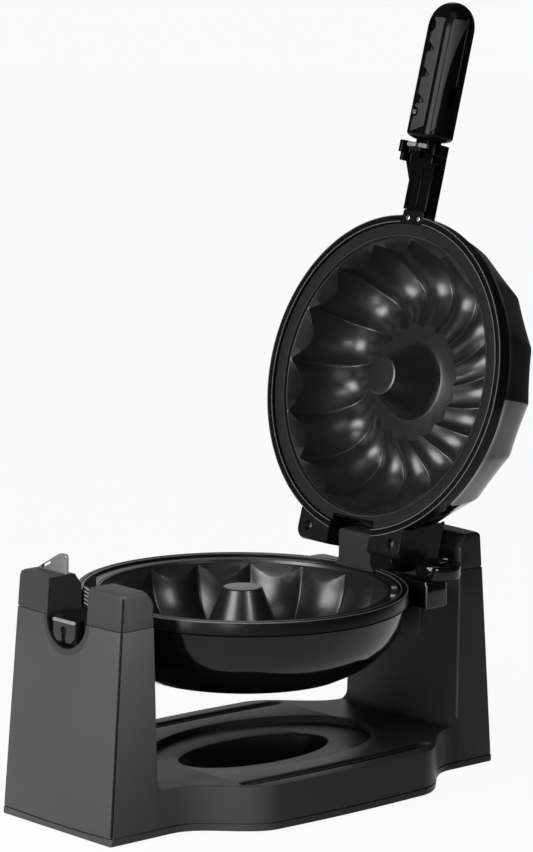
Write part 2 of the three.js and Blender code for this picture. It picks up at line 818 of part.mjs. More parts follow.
// The tubular element that lies against the casting's underside.
function heater() {
  const [r0, d0] = undersideShares[5];
  const [r1, d1] = undersideShares[6];
  const slope = (d0 - d1) * cavityDepth / ((r0 - r1) * cavityRadius);
  const surface = cavityDepth * d1 + slope * (heaterRadius - cavityRadius * r1);
  const level = surface + (heaterTube + gap) * Math.hypot(1, slope);
  return closed(new THREE.TorusGeometry(heaterRadius, heaterTube, 6, rodSteps).translate(0, 0, level));
}
const sensorSeat = cavityDepth * undersideShares.at(-1)[1] + gap;

// Hinge end.
function hingeProfile(low, high, lowEdge) {
  return [
    [housingFront, low],
    [housingRear - lowEdge, low],
    [housingRear, low + lowEdge],
    [housingRear, high - housingEdge],
    [housingRear - housingEdge, high],
    [housingFront, high],
  ];
}
function pinHole(x, w, radius, halfLength, steps = rodSteps) {
  return rod(radius, -halfLength, halfLength, steps).rotateX(Math.PI / 2).translate(x, 0, w);
}
function lidHingeHousing() {
  const body = alongY(hingeProfile(partingGap, housingTop, lugEdge), -housingHalfWidth, housingHalfWidth);
  const openSlot = block([webRear, housingRear + overrun], [-riserSlotHalfWidth, riserSlotHalfWidth],
    [-overrun, housingTop + overrun]);
  const recesses = [-lugScrewY, lugScrewY].map((y) => at(
    rod(lugScrewRecess, -overrun, partingGap + lugScrewRadius * 2, screwSteps),
    [lugScrewX, y],
  ));
  return cut(
    body,
    shellEnvelope(ridgeShares, crownDepth),
    riserRoom(riserSlotFront),
    openSlot,
    pinHole(hingeX, hingeW, hingePinRadius + gap, housingHalfWidth - housingEdge),
    ...recesses,
  );
}
function rearHousing() {
  const profile = hingeProfile(rearHousingTop, rearHousingDepth, gap);
  const body = alongY(profile, -housingHalfWidth, housingHalfWidth);
  return cut(body, shellEnvelope(bowlShares, bowlDepth));
}
function hingeRiser() {
  const low = -rearHousingTop + gap;
  const outline = [
    [-riserHalfWidth - riserFoot, low],
    [riserHalfWidth + riserFoot, low],
    [riserHalfWidth, low + 2 * riserFoot],
    [riserHalfWidth, riserTop],
    [-riserHalfWidth, riserTop],
    [-riserHalfWidth, low + 2 * riserFoot],
  ];
  const side = [
    [riserFront, low - overrun],
    [riserFront, riserTop - riserEdge],
    [riserFront + riserEdge, riserTop],
    [hingeX + riserBack, riserTop],
    [hingeX + riserBack, low - overrun],
  ];
  const bar = keep(
    alongX(outline, riserFront, hingeX + riserBack),
    alongY(side, -housingHalfWidth, housingHalfWidth),
  );
  return cut(bar, pinHole(hingeX, hingeW, hingePinRadius + gap, housingHalfWidth));
}
// Seat for the riser's foot in the lower rim ring, before the ring is turned over.
function riserSeat() {
  const half = riserHalfWidth + riserFoot + gap;
  return block([-rimRadius - overrun, gap - riserFront], [-half, half], [-overrun, rearHousingTop]);
}
// Space in the lid that the riser turns through.
function riserRoom(front, margin = 0) {
  const half = riserSlotHalfWidth + margin;
  return block(
    [front - margin, housingRear + overrun],
    [-half, half],
    [-overrun, hingeW + riserSweep + margin],
  );
}
function rearShaft() {
  const start = hingeX + riserBack + gap;
  return turned([
    [0, start],
    [shaftFlangeRadius, start],
    [shaftFlangeRadius, start + shaftFlangeThickness],
    [shaftRadius, start + shaftFlangeThickness],
    [shaftRadius, shaftReach],
    [0, shaftReach],
  ], innerSteps).rotateY(Math.PI / 2);
}
const bushStart = innerX(REAR, axisHeight) + cookerOffset;
function rearBush() {
  const inner = shaftRadius + gap;
  const profile = ringProfile(inner, inner + bushWall, bushStart, bushStart + bushLength);
  return turned(profile, innerSteps).rotateY(Math.PI / 2);
}
function shaftRetainer() {
  const inner = shaftRadius + gap;
  const low = bushStart + bushLength + gap;
  const profile = ringProfile(inner, inner + bushWall - gap, low, low + retainerThickness);
  return turned(profile, innerSteps).rotateY(Math.PI / 2);
}

// Handle end of the lower half.
function halfDisc(radius, drop, steps) {
  const rise = Math.asin(drop / radius);
  return arc(0, 0, radius, radius, Math.PI + rise, 2 * Math.PI - rise, steps);
}
function frontTrunnion() {
  const journal = notchRadius - runningGap;
  const inner = collarThickness + gap - collarFace;
  const neck = block(
    [inner, -rimRadius / 2],
    [-bracketHalfWidth, bracketHalfWidth],
    [-bracketDepth, -partingDrop],
  );
  const half = alongX(halfDisc(journal, partingDrop, rodSteps), -journalEnd, inner + gap);
  const stub = block(
    [-stubEnd, -journalEnd + gap],
    [-stubHalfWidth, stubHalfWidth],
    [-stubDepth, -partingDrop],
  );
  return cut(join(neck, half, stub), shellEnvelope(bowlShares, bowlDepth).rotateX(Math.PI));
}
// A round flange beside the pedestal with a slot that the lid's neck drops into.
function frontCollar() {
  const disc = rod(collarRadius, -collarFace, collarThickness - collarFace, roundSteps).rotateY(Math.PI / 2);
  const slot = block(
    [-collarFace - overrun, 0],
    [-neckHalfWidth - runningGap, neckHalfWidth + runningGap],
    [-partingDrop + gap, collarRadius + overrun],
  );
  const seatOutline = halfDisc(notchRadius - runningGap + gap, partingDrop - gap, rodSteps);
  const seat = alongX(seatOutline, -collarFace - overrun, 0);
  return cut(disc, slot, seat);
}
function stubEndPlate() {
  const [w, low, high] = [stubHalfWidth, -stubDepth, -partingDrop];
  const outline = [
    [w, high],
    [-w, high],
    [-w, low + endPlateCorner],
    [endPlateCorner - w, low],
    [w - endPlateCorner, low],
    [w, low + endPlateCorner],
  ];
  const outer = -stubEnd - gap;
  const plate = alongX(outline, outer - endPlateThickness, outer);
  const [front, back] = [outer - endPlateThickness - overrun, outer + overrun];
  const slot = block(
    [front, back],
    [-keyholeWidth / 2, keyholeWidth / 2],
    [low - overrun, low + keyholeHeight],
  );
  const head = rod(keyholeHeadRadius, front, back, screwSteps).rotateY(Math.PI / 2);
  return cut(plate, slot, head.translate(0, 0, low + keyholeHeight));
}

// Temperature control.
function controlHousing() {
  const body = block(
    [controlFront, housingRear],
    [controlOuterY, -housingHalfWidth - gap],
    [-controlDepth, gap],
  );
  return cut(body, at(rod(dialStemRadius + gap, -dialStemLength - gap, overrun, rodSteps), [dialX, dialY]));
}
function controlDial() {
  const low = dialLift;
  const high = dialLift + dialHeight;
  const dish = high - dialDish;
  return turned([
    [0, low - dialStemLength],
    [dialStemRadius, low - dialStemLength],
    [dialStemRadius, low],
    [dialRadius - dialRim, low],
    [dialRadius, low + dialRim],
    [dialRadius, high - dialRim / 2],
    [dialRadius - dialRim / 2, high],
    [dialRadius - dialRim, high],
    [dialRadius - 2 * dialRim, dish],
    [0, dish],
  ], rodSteps);
}

// Handle pieces on the lid, drawn as if the lid were shut.
function handleFlange() {
  const plate = block([-flangeOuter, -flangeInner], [-flangeHalfWidth, flangeHalfWidth],
    [partingGap, partingGap + flangeThickness]);
  const holes = [-flangeScrewY, flangeScrewY].map((y) => at(
    rod(flangeScrewRadius + gap, -overrun, partingGap + flangeThickness - flangeFloor, screwSteps),
    [-flangeScrewX, y],
  ));
  return cut(plate, ...holes);
}
function flangeRoom() {
  return block([-flangeOuter, -flangeInner + gap], [-flangeHalfWidth - gap, flangeHalfWidth + gap],
    [-overrun, partingGap + flangeThickness + gap]);
}
function clampOutline(outer) {
  const inner = outer - clampWall;
  const slimInner = clampWall - clampSlim;
  return [
    [-clampSlim, -clampDrop],
    [slimInner, -clampDrop],
    [slimInner, clampRoof],
    [inner, clampRoof],
    [inner, -clampDrop],
    [outer, -clampDrop],
    [outer, neckTop - clampEdge],
    [outer - clampEdge, neckTop],
    [clampEdge - clampSlim, neckTop],
    [-clampSlim, neckTop - clampEdge],
  ];
}
// The tongue that the grip folds on. Its root is stepped to leave room for the latch.
function tongue() {
  const root = -clampOuter + clampWall;
  const step = -clampOuter - 3 * gap;
  const roof = clampRoof + latchCarriage + 2 * gap;
  const outline = [
    [root, roof],
    [root, foldW + tongueRadius],
    ...arc(-foldX, foldW, tongueRadius, tongueRadius, Math.PI / 2, 3 * Math.PI / 2, 10),
    [step, foldW - tongueRadius],
    [step, roof],
  ];
  return alongY(outline, -tongueHalfWidth, tongueHalfWidth);
}
function latchRoom() {
  return block(
    [-clampOuter - overrun, -clampInner - clampWall],
    [-latchHalfWidth - latchSideRoom, latchHalfWidth + latchSideRoom],
    [-clampDrop - overrun, clampRoof + latchCarriage + gap],
  );
}
function handleArm() {
  const neck = block(
    [-clampInner - clampWall, -rimRadius / 2],
    [-neckHalfWidth, neckHalfWidth],
    [partingGap, neckTop],
  );
  const narrow = alongX(clampOutline(clampNarrow), -clampShoulder - gap, -clampInner);
  const wide = alongX(clampOutline(clampHalfWidth), -clampOuter, -clampShoulder);
  const web = alongZ([
    [-clampInner - clampWall, 0],
    [-clampInner - clampWall, clampNarrow],
    [-clampInner, clampNarrow],
    [clampWebRun - clampInner, neckHalfWidth - gap],
    [clampWebRun - clampInner, 0],
  ], clampRoof, neckTop - clampEdge);
  const body = join(cut(join(neck, web, narrow, wide), latchRoom()), tongue());
  return cut(
    body,
    shellEnvelope(ridgeShares, crownDepth),
    block([-flangeOuter - gap, 0], [-neckHalfWidth - overrun, neckHalfWidth + overrun],
      [-overrun, partingGap + flangeThickness + gap]),
    pinHole(-foldX, foldW, foldPinRadius + gap, tongueHalfWidth + overrun, screwSteps),
  );
}
function foldPin() {
  return pinHole(-foldX, foldW, foldPinRadius, gripHalfWidth - foldPinCover, screwSteps);
}
function latchSlide() {
  const top = clampRoof + latchCarriage;
  const start = stubEnd + gap + endPlateThickness + 2 * gap;
  const plate = block([-start - latchPlate, -start], [-latchHalfWidth, latchHalfWidth], [-latchHook, top]);
  const tab = block([-start - latchPlate - latchTabHeight, -start - gap],
    [-latchTabHalfWidth, latchTabHalfWidth], [-clampDrop - latchTabHeight, -clampDrop - gap]);
  return join(plate, tab);
}

// Folding grip.
function gripSection(x, scale) {
  return Array.from({ length: gripSides }, (_, i) => {
    const angle = i / gripSides * 2 * Math.PI;
    const [c, s] = [Math.cos(angle), Math.sin(angle)];
    const full = (v) => v * (1 - gripSquareness + gripSquareness / Math.sqrt(Math.max(Math.abs(v), 1e-6)));
    return new THREE.Vector3(
      -x,
      gripHalfWidth * scale * full(c),
      gripCentre + gripHalfHeight * scale * full(s),
    );
  });
}
function gripBody() {
  const domeStart = gripEnd - gripDome;
  const dome = gripDomeShares.map((share) => gripSection(
    domeStart + gripDome * share,
    Math.sqrt(1 - share ** gripDomePower),
  ));
  return skin([
    [new THREE.Vector3(-gripStart, 0, gripCentre)],
    gripSection(gripStart, 1 - gripEdge / gripHalfHeight),
    gripSection(gripStart + gripEdge, 1),
    gripSection(domeStart, 1),
    ...dome,
    [new THREE.Vector3(-gripEnd, 0, gripCentre)],
  ]);
}
function gripNotches() {
  return Array.from({ length: gripNotchCount }, (_, i) => {
    const x = -gripNotchFirst - i * gripNotchPitch;
    const low = gripCentre - gripHalfHeight;
    const outline = [
      [x, low - overrun],
      [x - gripNotchLength, low - overrun],
      [x, low + gripNotchDepth],
    ];
    return alongY(outline, gripHalfWidth - gripNotchReach, gripHalfWidth + overrun);
  });
}
function gripHalf(upper) {
  const room = tongueRadius + runningGap;
  const slotSide = tongueHalfWidth + runningGap;
  const top = gripCentre + gripHalfHeight + overrun;
  const slot = block([-foldX, -gripStart + overrun], [-slotSide, slotSide], [foldW - room, top]);
  const end = block([-foldX - room, -foldX], [-slotSide, slotSide], [foldW, top]);
  const round = pinHole(-foldX, foldW, room, slotSide, innerSteps);
  const half = block(
    [-gripEnd - overrun, 0],
    [-gripHalfWidth - overrun, gripHalfWidth + overrun],
    upper ? [gripCentre + gap / 2, top] : [gripCentre - gripHalfHeight - overrun, gripCentre - gap / 2],
  );
  const pin = pinHole(-foldX, foldW, foldPinRadius + gap, gripHalfWidth - foldPinCover + gap, screwSteps);
  const notches = upper ? [] : gripNotches();
  return cut(keep(gripBody(), half), slot, end, round, pin, ...notches);
}

// Placing.
function piece(name, geometry, material) {
  const mesh = new THREE.Mesh(closed(geometry), material);
  mesh.name = name;
  return mesh;
}
function turnedOver(mesh) {
  mesh.rotation.y = Math.PI;
  return mesh;
}

function stand() {
  const group = new THREE.Group();
  group.add(
    piece('stand_housing', standHousing(), satinBlack),
    piece('front_cap_left', frontCap(1), satinCharcoal),
    piece('front_cap_right', frontCap(-1), satinCharcoal),
    piece('rear_cap', rearCap(), satinCharcoal),
    piece('base_plate', basePlate(), satinBlack),
  );
  footPlaces().forEach((place, i) => group.add(piece(`foot_${i + 1}`, at(foot(), place), rubber)));
  screwPlaces().forEach((place, i) => group.add(
    piece(`base_screw_${i + 1}`, screwHead(place, screwHeadRadius, gap, gap + screwHeadHeight), steel),
  ));
  const bush = piece('rear_bush', rearBush(), steel);
  bush.position.set(-cookerOffset, 0, axisHeight);
  const gland = piece('cord_gland', cordGland(), rubber);
  gland.position.set(0, glandOffset, glandHeight);
  group.add(bush, gland);
  return group;
}

// The lower half, in a frame with its origin on the turning axis at the cooker's middle.
function lowerHalf() {
  const group = new THREE.Group();
  group.add(
    turnedOver(piece('lower_shell', bowlShell(), glossBlack)),
    turnedOver(piece('lower_rim_ring', cut(rimRing(), riserSeat()), ringGrey)),
    turnedOver(piece('lower_bake_plate', bakePlate(), nonStick)),
    turnedOver(piece('lower_heater', heater(), steel)),
    piece('lower_thermostat', rod(thermostatRadius, -sensorSeat - thermostatHeight, -sensorSeat, rodSteps)
      .translate(sensorCircle, 0, 0), steel),
    piece('thermal_fuse', rod(fuseRadius, -fuseLength / 2, fuseLength / 2, screwSteps).rotateX(Math.PI / 2)
      .translate(-sensorCircle, 0, -sensorSeat - fuseRadius), brass),
    piece('rear_housing', rearHousing().rotateX(Math.PI), satinBlack),
    piece('hinge_riser', hingeRiser(), hingeGrey),
    piece('hinge_pin', pinHole(hingeX, hingeW, hingePinRadius, housingHalfWidth - housingEdge - gap), steel),
    piece('rear_shaft', rearShaft(), satinBlack),
    piece('shaft_retainer', shaftRetainer(), steel),
    piece('front_trunnion', frontTrunnion(), satinBlack),
    piece('front_collar', frontCollar(), satinBlack),
    piece('stub_end_plate', stubEndPlate(), hingeGrey),
    piece('control_housing', controlHousing(), glossBlack),
    piece('control_dial', at(controlDial(), [dialX, dialY]), ringGrey),
  );
  return group;
}

// The lid, drawn shut in the same frame and then opened about its hinge.
function lid() {
  const drawn = new THREE.Group();
  const slot = riserRoom(riserSlotFront - pocketWall, gap);
  drawn.add(
    piece('lid_shell', lidShell(), glossBlack),
    piece('lid_rim_ring', cut(rimRing(), slot, flangeRoom()), ringGrey),
    piece('lid_bake_plate', cut(bakePlate(), slot), nonStick),
    piece('lid_heater', heater(), steel),
    piece('lid_thermostat', rod(thermostatRadius, sensorSeat, sensorSeat + thermostatHeight, rodSteps)
      .translate(sensorCircle, 0, 0), steel),
    piece('lid_hinge_housing', lidHingeHousing(), satinBlack),
    piece('handle_flange', handleFlange(), ringGrey),
    piece('handle_arm', handleArm(), glossBlack),
    piece('fold_pin', foldPin(), steel),
    piece('latch_slide', latchSlide(), hingeGrey),
    piece('grip_lower_shell', gripHalf(false), glossBlack),
    piece('grip_upper_shell', gripHalf(true), glossBlack),
  );
  for (const [side, sign] of [['right', -1], ['left', 1]]) {
    const lug = screwHead([lugScrewX, sign * lugScrewY], lugScrewRadius,
      partingGap + lugScrewRadius, partingGap + 2 * lugScrewRadius - gap);
    const handle = screwHead([-flangeScrewX, sign * flangeScrewY], flangeScrewRadius,
      partingGap + gap, partingGap + flangeThickness - flangeFloor - gap);
    drawn.add(piece(`lug_screw_${side}`, lug, steel), piece(`handle_screw_${side}`, handle, steel));
  }
  drawn.position.set(-hingeX, 0, -hingeW);
  const opened = new THREE.Group();
  opened.add(drawn);
  opened.position.set(hingeX, 0, hingeW);
  opened.rotation.y = openAngle;
  return opened;
}

const cakeMaker = new THREE.Group();
const cooker = new THREE.Group();
cooker.add(lowerHalf(), lid());
cooker.position.set(-cookerOffset, 0, axisHeight);
cakeMaker.add(stand(), cooker);

export default cakeMaker;
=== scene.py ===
"""The looks of an electric bundt cake maker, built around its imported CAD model.

Sizes are in millimetres and become metres when a piece is settled in its place. Pieces of the
cooker are drawn with the lid shut, counting up from the parting plane.
"""

from math import asin, copysign, cos, pi, radians, remainder, sin, sqrt

import bmesh
import bpy
from mathutils import Matrix, Vector


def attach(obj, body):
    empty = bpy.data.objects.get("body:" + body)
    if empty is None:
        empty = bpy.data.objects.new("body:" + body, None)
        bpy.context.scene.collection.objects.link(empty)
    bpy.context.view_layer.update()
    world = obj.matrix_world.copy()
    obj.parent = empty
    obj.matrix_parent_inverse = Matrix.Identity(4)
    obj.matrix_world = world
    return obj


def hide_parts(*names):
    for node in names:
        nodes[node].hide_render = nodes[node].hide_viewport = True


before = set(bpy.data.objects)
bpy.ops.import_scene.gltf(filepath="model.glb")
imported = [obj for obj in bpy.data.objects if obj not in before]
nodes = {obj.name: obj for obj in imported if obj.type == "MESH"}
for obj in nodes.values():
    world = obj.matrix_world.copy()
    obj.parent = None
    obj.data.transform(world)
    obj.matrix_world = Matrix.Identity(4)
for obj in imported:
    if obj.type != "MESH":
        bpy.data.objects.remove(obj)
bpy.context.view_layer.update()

MM = 0.001
TAU = 2 * pi
FRONT, REAR = -1, 1

# The stand, as in the CAD model, except for the deck's wave, its shifts, its recess and its slots.
STAND_LENGTH, TOP_LENGTH = 401.5, 373.8
PEDESTAL_WIDTH, PEDESTAL_TOP_WIDTH, PEDESTAL_HEIGHT = 130.1, 123.4, 190.5
PEDESTAL_FOOT = {FRONT: 153.9, REAR: 160.2}
INNER_LEAN, OUTER_BOW = 3.3, 2.4
SEAM_HEIGHT, HOUSING_FLOOR, BASE_THICKNESS = 162.0, 5.8, 5.5
CHAMFER_RUN, CHAMFER_DROP = 6.6, 9.5
DECK_HEIGHT, DECK_WIDTH, DECK_BOW = 35.0, 218.0, 2.0
DECK_SHOULDER, DECK_WAIST, FOOT_FILLET = 70.0, 151.0, 8.0
DECK_SHIFT, RECESS_SHIFT, SLOT_SHIFT = 7.0, 9.0, 8.0
RECESS_LENGTH, RECESS_WIDTH, RECESS_DEPTH = 206.0, 132.0, 6.0
WELL_LENGTH, WELL_WIDTH = 144.0, 72.0
SLOT_LENGTH, SLOT_WIDTH, SLOT_DEPTH, SLOT_INSET = 200.0, 12.0, 5.0, 17.5
FOOT_PLACES = [(x, y) for x in (-178.75, 178.75) for y in (-49.05, 49.05)]
FOOT_SEAT, SCREW_HOLE = 9.3, 3.8
SCREW_PLACES = [(x, y) for x in (-76.0, 76.0) for y in (-87.0, 87.0)]
NOTCH_RADIUS, FIN_PEAK, FIN_X = 23.8, 15.0, -169.2
NOTCH_SPAN, NOTCH_MOUTH, ARCH_STEPS = (-225.0, -120.0), 240.0, 48
BEARING_RADIUS, BEARING_SPAN = 18.2, (140.0, 182.9)
FIN_THICKNESS, DECK_DRAFT, DECK_END, FILLET_STEPS = 3.0, 0.0185, 178, 8
CHAMFER_START = PEDESTAL_HEIGHT - CHAMFER_DROP

# The cooker, its two halves and the hinge.
COOKER_OFFSET, AXIS_HEIGHT = 13.7, 163.7
HINGE_X, HINGE_W = 131.2, 19.9
OPEN_ANGLE = radians(104.6)
RIM_RADIUS, PARTING_GAP = 130.0, 0.5
RING_WIDTH, RING_HEIGHT, RING_LIP, RING_WALL = 6.1, 10.0, 5.0, 2.6
SHELL_WALL, BOWL_DEPTH, CROWN_DEPTH = 2.6, 66.0, 68.0
FLUTES = 16
PLATE_RADIUS, PLATE_FACE, PLATE_FLANGE = 123.6, 2.5, 3.0
CAVITY_RADIUS, CAVITY_DEPTH, CAVITY_STEP = 111.0, 56.0, 2.5
SWIRL = radians(19.8)
CONE_TOP, CONE_FOOT = 15.0, 31.0
ROOM_FRONT, ROOM_HALF, ROOM_TOP, POCKET_WALL = 117.4, 23.5, 36.1, 1.8
HOUSING_FRONT, HOUSING_REAR, HOUSING_HALF, HOUSING_TOP = 104.0, 141.0, 59.0, 45.0
LUG_SCREW_X, LUG_SCREW_Y = 129.6, 47.8
DIAL_X, DIAL_Y = 137.3, -78.0
HANDLE_SCREW_X, HANDLE_SCREW_Y = -127.6, 5.8
FOLD_X, FOLD_Z, TONGUE_RADIUS, TONGUE_STEPS = -222, 2, 7.5, 24
CUT_FLOOR, RIM_STEPS = -6, 192

# Half profiles, as shares of a radius and of a depth.
BOWL = [(0.989, 0.25), (0.966, 0.41), (0.927, 0.575), (0.869, 0.712), (0.777, 0.871), (0.654, 1.0)]
RIDGE = [(0.981, 0.235), (0.954, 0.44), (0.908, 0.69), (0.854, 0.853), (0.762, 0.963),
         (0.631, 1.0)]
PANEL = [(0.973, 0.235), (0.937, 0.447), (0.889, 0.69), (0.835, 0.845), (0.745, 0.953),
         (0.618, 0.997)]
GROOVE = [(1, 0.089), (0.977, 0.4), (0.912, 0.69), (0.79, 0.93), (0.667, 1), (0.52, 0.89),
          (0.391, 0.679)]
UNDERSIDE = [(1.032, 0.098), (1.023, 0.36), (0.968, 0.66), (0.883, 0.893), (0.649, 1.063),
             (0.54, 1.018), (0.432, 0.893), (0.378, 0.741), (0.243, 0.741)]
LOBE = [(0.937, 0.25), (0.903, 0.45), (0.845, 0.66), (0.755, 0.83), (0.65, 0.895), (0.54, 0.83),
        (0.432, 0.683)]

# Seats: the place a piece is drawn for, and the body it rides on.
AXIS = Matrix.Translation((-COOKER_OFFSET, 0, AXIS_HEIGHT))
OPENED = (
    AXIS
    @ Matrix.Translation((HINGE_X, 0, HINGE_W))
    @ Matrix.Rotation(OPEN_ANGLE, 4, "Y")
    @ Matrix.Translation((-HINGE_X, 0, -HINGE_W))
)
STAND = (Matrix.Identity(4), "stand")
COOKER = (AXIS, "cooker")
LOWER = (AXIS @ Matrix.Rotation(pi, 4, "Y"), "cooker")
LOWER_HINGE = (AXIS @ Matrix.Rotation(pi, 4, "X"), "cooker")
DIAL = (AXIS @ Matrix.Translation((DIAL_X, DIAL_Y, 0)), "dial")
LID, LATCH, GRIP = (OPENED, "lid"), (OPENED, "latch"), (OPENED, "grip")

# Camera, fitted to the pedestals, the rims and the open lid.
CAMERA_PLACE = Vector((-2.16546, -2.41338, 0.87057))
CAMERA_TURN, CAMERA_DROP = radians(42.04), radians(10.32)
CAMERA_ROLL, CAMERA_LENS, CAMERA_SHIFT = radians(0.6), 178.88, (-0.0007, 0.0132)


def placed_object(name, data):
    made = bpy.data.objects.new(name, data)
    bpy.context.scene.collection.objects.link(made)
    return made


def set_camera():
    data = bpy.data.cameras.new("camera")
    camera = placed_object("camera", data)
    forward = Vector((
        sin(CAMERA_TURN) * cos(CAMERA_DROP),
        cos(CAMERA_TURN) * cos(CAMERA_DROP),
        -sin(CAMERA_DROP),
    ))
    right = forward.cross(Vector((0, 0, 1))).normalized()
    up = right.cross(forward)
    tilted_right = right * cos(CAMERA_ROLL) + up * sin(CAMERA_ROLL)
    tilted_up = tilted_right.cross(forward)
    turn = Matrix((tilted_right, tilted_up, -forward)).transposed()
    camera.matrix_world = Matrix.Translation(CAMERA_PLACE) @ turn.to_4x4()
    data.sensor_width = 36
    data.lens = CAMERA_LENS
    data.shift_x, data.shift_y = CAMERA_SHIFT
    data.clip_end = 50
    bpy.context.scene.camera = camera


def softbox(name, place, target, width, height, watts, spread=180):
    data = bpy.data.lights.new(name, "AREA")
    data.shape = "RECTANGLE"
    data.size, data.size_y = width, height
    data.energy, data.spread = watts, radians(spread)
    lamp = placed_object(name, data)
    lamp.location = place
    lamp.rotation_euler = (Vector(target) - Vector(place)).to_track_quat("-Z", "Y").to_euler()


def set_light():
    world = bpy.data.worlds.new("studio")
    bpy.context.scene.world = world
    world.use_nodes = True
    room = world.node_tree.nodes["Background"]
    room.inputs["Color"].default_value = (1, 1, 1, 1)
    room.inputs["Strength"].default_value = 0.08
    bpy.context.scene.view_settings.view_transform = "Standard"
    softbox("key_left", (-1.9, 0.0, 0.75), (-0.1, 0, 0.2), 1.0, 1.5, 84)
    softbox("side_lamp", (-0.15, -1.05, 0.8), (-0.25, -0.04, 0.27), 0.12, 0.12, 0.95, 26)
    softbox("lid_lamp", (-1.15, -1.0, 0.62), (0.13, 0.03, 0.5), 0.8, 0.9, 0.55, 13)
    softbox("top", (-0.7, -0.3, 2.1), (0, 0, 0.1), 1.1, 0.9, 7)


def white_surface(name, share):
    """Pale matt paint that cameras, gloss and glass see as white, and that still takes a shadow."""
    material = bpy.data.materials.new(name)
    material.use_nodes = True
    tree = material.node_tree
    tree.nodes.clear()
    matt = shader_node(tree, "BsdfDiffuse", Color=(0.4, 0.4, 0.4, 1))
    lit = shader_node(tree, "Emission", Color=(1, 1, 1, 1), Strength=1.0)
    path = shader_node(tree, "LightPath")
    either = maths(tree, "MAXIMUM", path.outputs["Is Camera Ray"], path.outputs["Is Glossy Ray"])
    seen = maths(tree, "MAXIMUM", either, path.outputs["Is Transmission Ray"])
    mix = shader_node(tree, "MixShader")
    out = shader_node(tree, "OutputMaterial")
    sources = (maths(tree, "MULTIPLY", seen, share), matt.outputs[0], lit.outputs[0])
    for source, socket in zip(sources, mix.inputs):
        tree.links.new(source, socket)
    tree.links.new(mix.outputs[0], out.inputs[0])
    return material


DISC, RUNNER_END, WALL_AWAY, WALL_HEIGHT = 1.3, 6.6, 6.0, 5.0
FLOOR_STEPS, WALL_STEPS = 120, 16


def set_studio():
    """A round floor with a runner away from the camera, and a wall at the runner's end."""
    level, away = -2.0 * MM, pi / 2 - CAMERA_TURN
    runner, span = radians(12.5), radians(8)
    rim = []
    for i in range(FLOOR_STEPS):
        angle = TAU * i / FLOOR_STEPS
        radius = RUNNER_END if abs(remainder(angle - away, TAU)) < runner else DISC
        rim.append((radius * cos(angle), radius * sin(angle), level))
    bends = arc((0, 0), WALL_AWAY, away - span, away + span, WALL_STEPS)
    wall = [(x, y, z) for z in (level, WALL_HEIGHT) for x, y in bends]
    count = len(bends)
    sides = [(i, i + 1, count + 1 + i, count + i) for i in range(WALL_STEPS)]
    for name, points, faces, share in (("floor", rim, [tuple(range(FLOOR_STEPS))], 0.95),
                                       ("wall", wall, sides, 0.955)):
        mesh = bpy.data.meshes.new(name)
        mesh.from_pydata(points, [], faces)
        mesh.materials.append(white_surface(f"pale_{name}", share))
        placed_object(name, mesh)


# Materials.
VALUE = "NodeSocketFloat"


def group(name, inputs, *outputs):
    """A group of shader nodes whose inputs and outputs are all plain values."""
    tree = bpy.data.node_groups.new(name, "ShaderNodeTree")
    for label, value in inputs.items():
        tree.interface.new_socket(label, in_out="INPUT", socket_type=VALUE).default_value = value
    for label in outputs:
        tree.interface.new_socket(label, in_out="OUTPUT", socket_type=VALUE)
    start = tree.nodes.new("NodeGroupInput")
    end = tree.nodes.new("NodeGroupOutput")
    return tree, start, end


def set_inputs(node, values):
    for label, value in values.items():
        node.inputs[label.replace("_", " ")].default_value = value


def shader_node(tree, kind, **values):
    node = tree.nodes.new("ShaderNode" + kind)
    set_inputs(node, values)
    return node


def textured(tree, kind, scale, **values):
    """A texture in the piece's own space, scaled by the group's input."""
    node = shader_node(tree, kind, **values)
    place = shader_node(tree, "TexCoord")
    tree.links.new(place.outputs["Object"], node.inputs["Vector"])
    tree.links.new(scale, node.inputs["Scale"])
    return node


def maths(tree, operation, first, second, clamp=False):
    node = tree.nodes.new("ShaderNodeMath")
    node.operation = operation
    node.use_clamp = clamp
    for socket, value in zip(node.inputs, (first, second)):
        if isinstance(value, (int, float)):
            socket.default_value = value
        else:
            tree.links.new(value, socket)
    return node.outputs[0]


def moulding_grain_group():
    """Fine spark-eroded grain of a plastic moulding, and a slow drift for its sheen."""
    sizes = {"Grain Size": 900.0, "Drift Size": 14.0}
    tree, start, end = group("moulding_grain", sizes, "Height", "Drift")
    grain = textured(tree, "TexNoise", start.outputs["Grain Size"], Detail=3.0)
    drift = textured(tree, "TexNoise", start.outputs["Drift Size"], Detail=2.0)
    tree.links.new(grain.outputs["Fac"], end.inputs["Height"])
    tree.links.new(drift.outputs["Fac"], end.inputs["Drift"])
    return tree


def coat_speckle_group():
    """Fine pale flecks in a non-stick coat, with the slight orange peel of a sprayed film."""
    sizes = {"Fleck Size": 1500.0, "Fleck Share": 0.3, "Peel Size": 260.0}
    tree, start, end = group("coat_speckle", sizes, "Fleck", "Peel")
    cells = textured(tree, "TexVoronoi", start.outputs["Fleck Size"])
    peel = textured(tree, "TexNoise", start.outputs["Peel Size"])
    near = maths(tree, "LESS_THAN", cells.outputs["Distance"], start.outputs["Fleck Share"])
    tree.links.new(near, end.inputs["Fleck"])
    tree.links.new(peel.outputs["Fac"], end.inputs["Peel"])
    return tree


def handling_wear_group():
    """Faint wipe marks and fingerprints on polished faces, as a mask."""
    sizes = {"Mark Size": 30.0, "Amount": 0.3}
    tree, start, end = group("handling_wear", sizes, "Mask")
    marks = textured(tree, "TexNoise", start.outputs["Mark Size"], Detail=6.0, Distortion=0.6)
    above = maths(tree, "SUBTRACT", marks.outputs["Fac"], 0.5)
    spread = maths(tree, "MULTIPLY", above, 4.0, clamp=True)
    mask = maths(tree, "MULTIPLY", spread, start.outputs["Amount"])
    tree.links.new(mask, end.inputs["Mask"])
    return tree


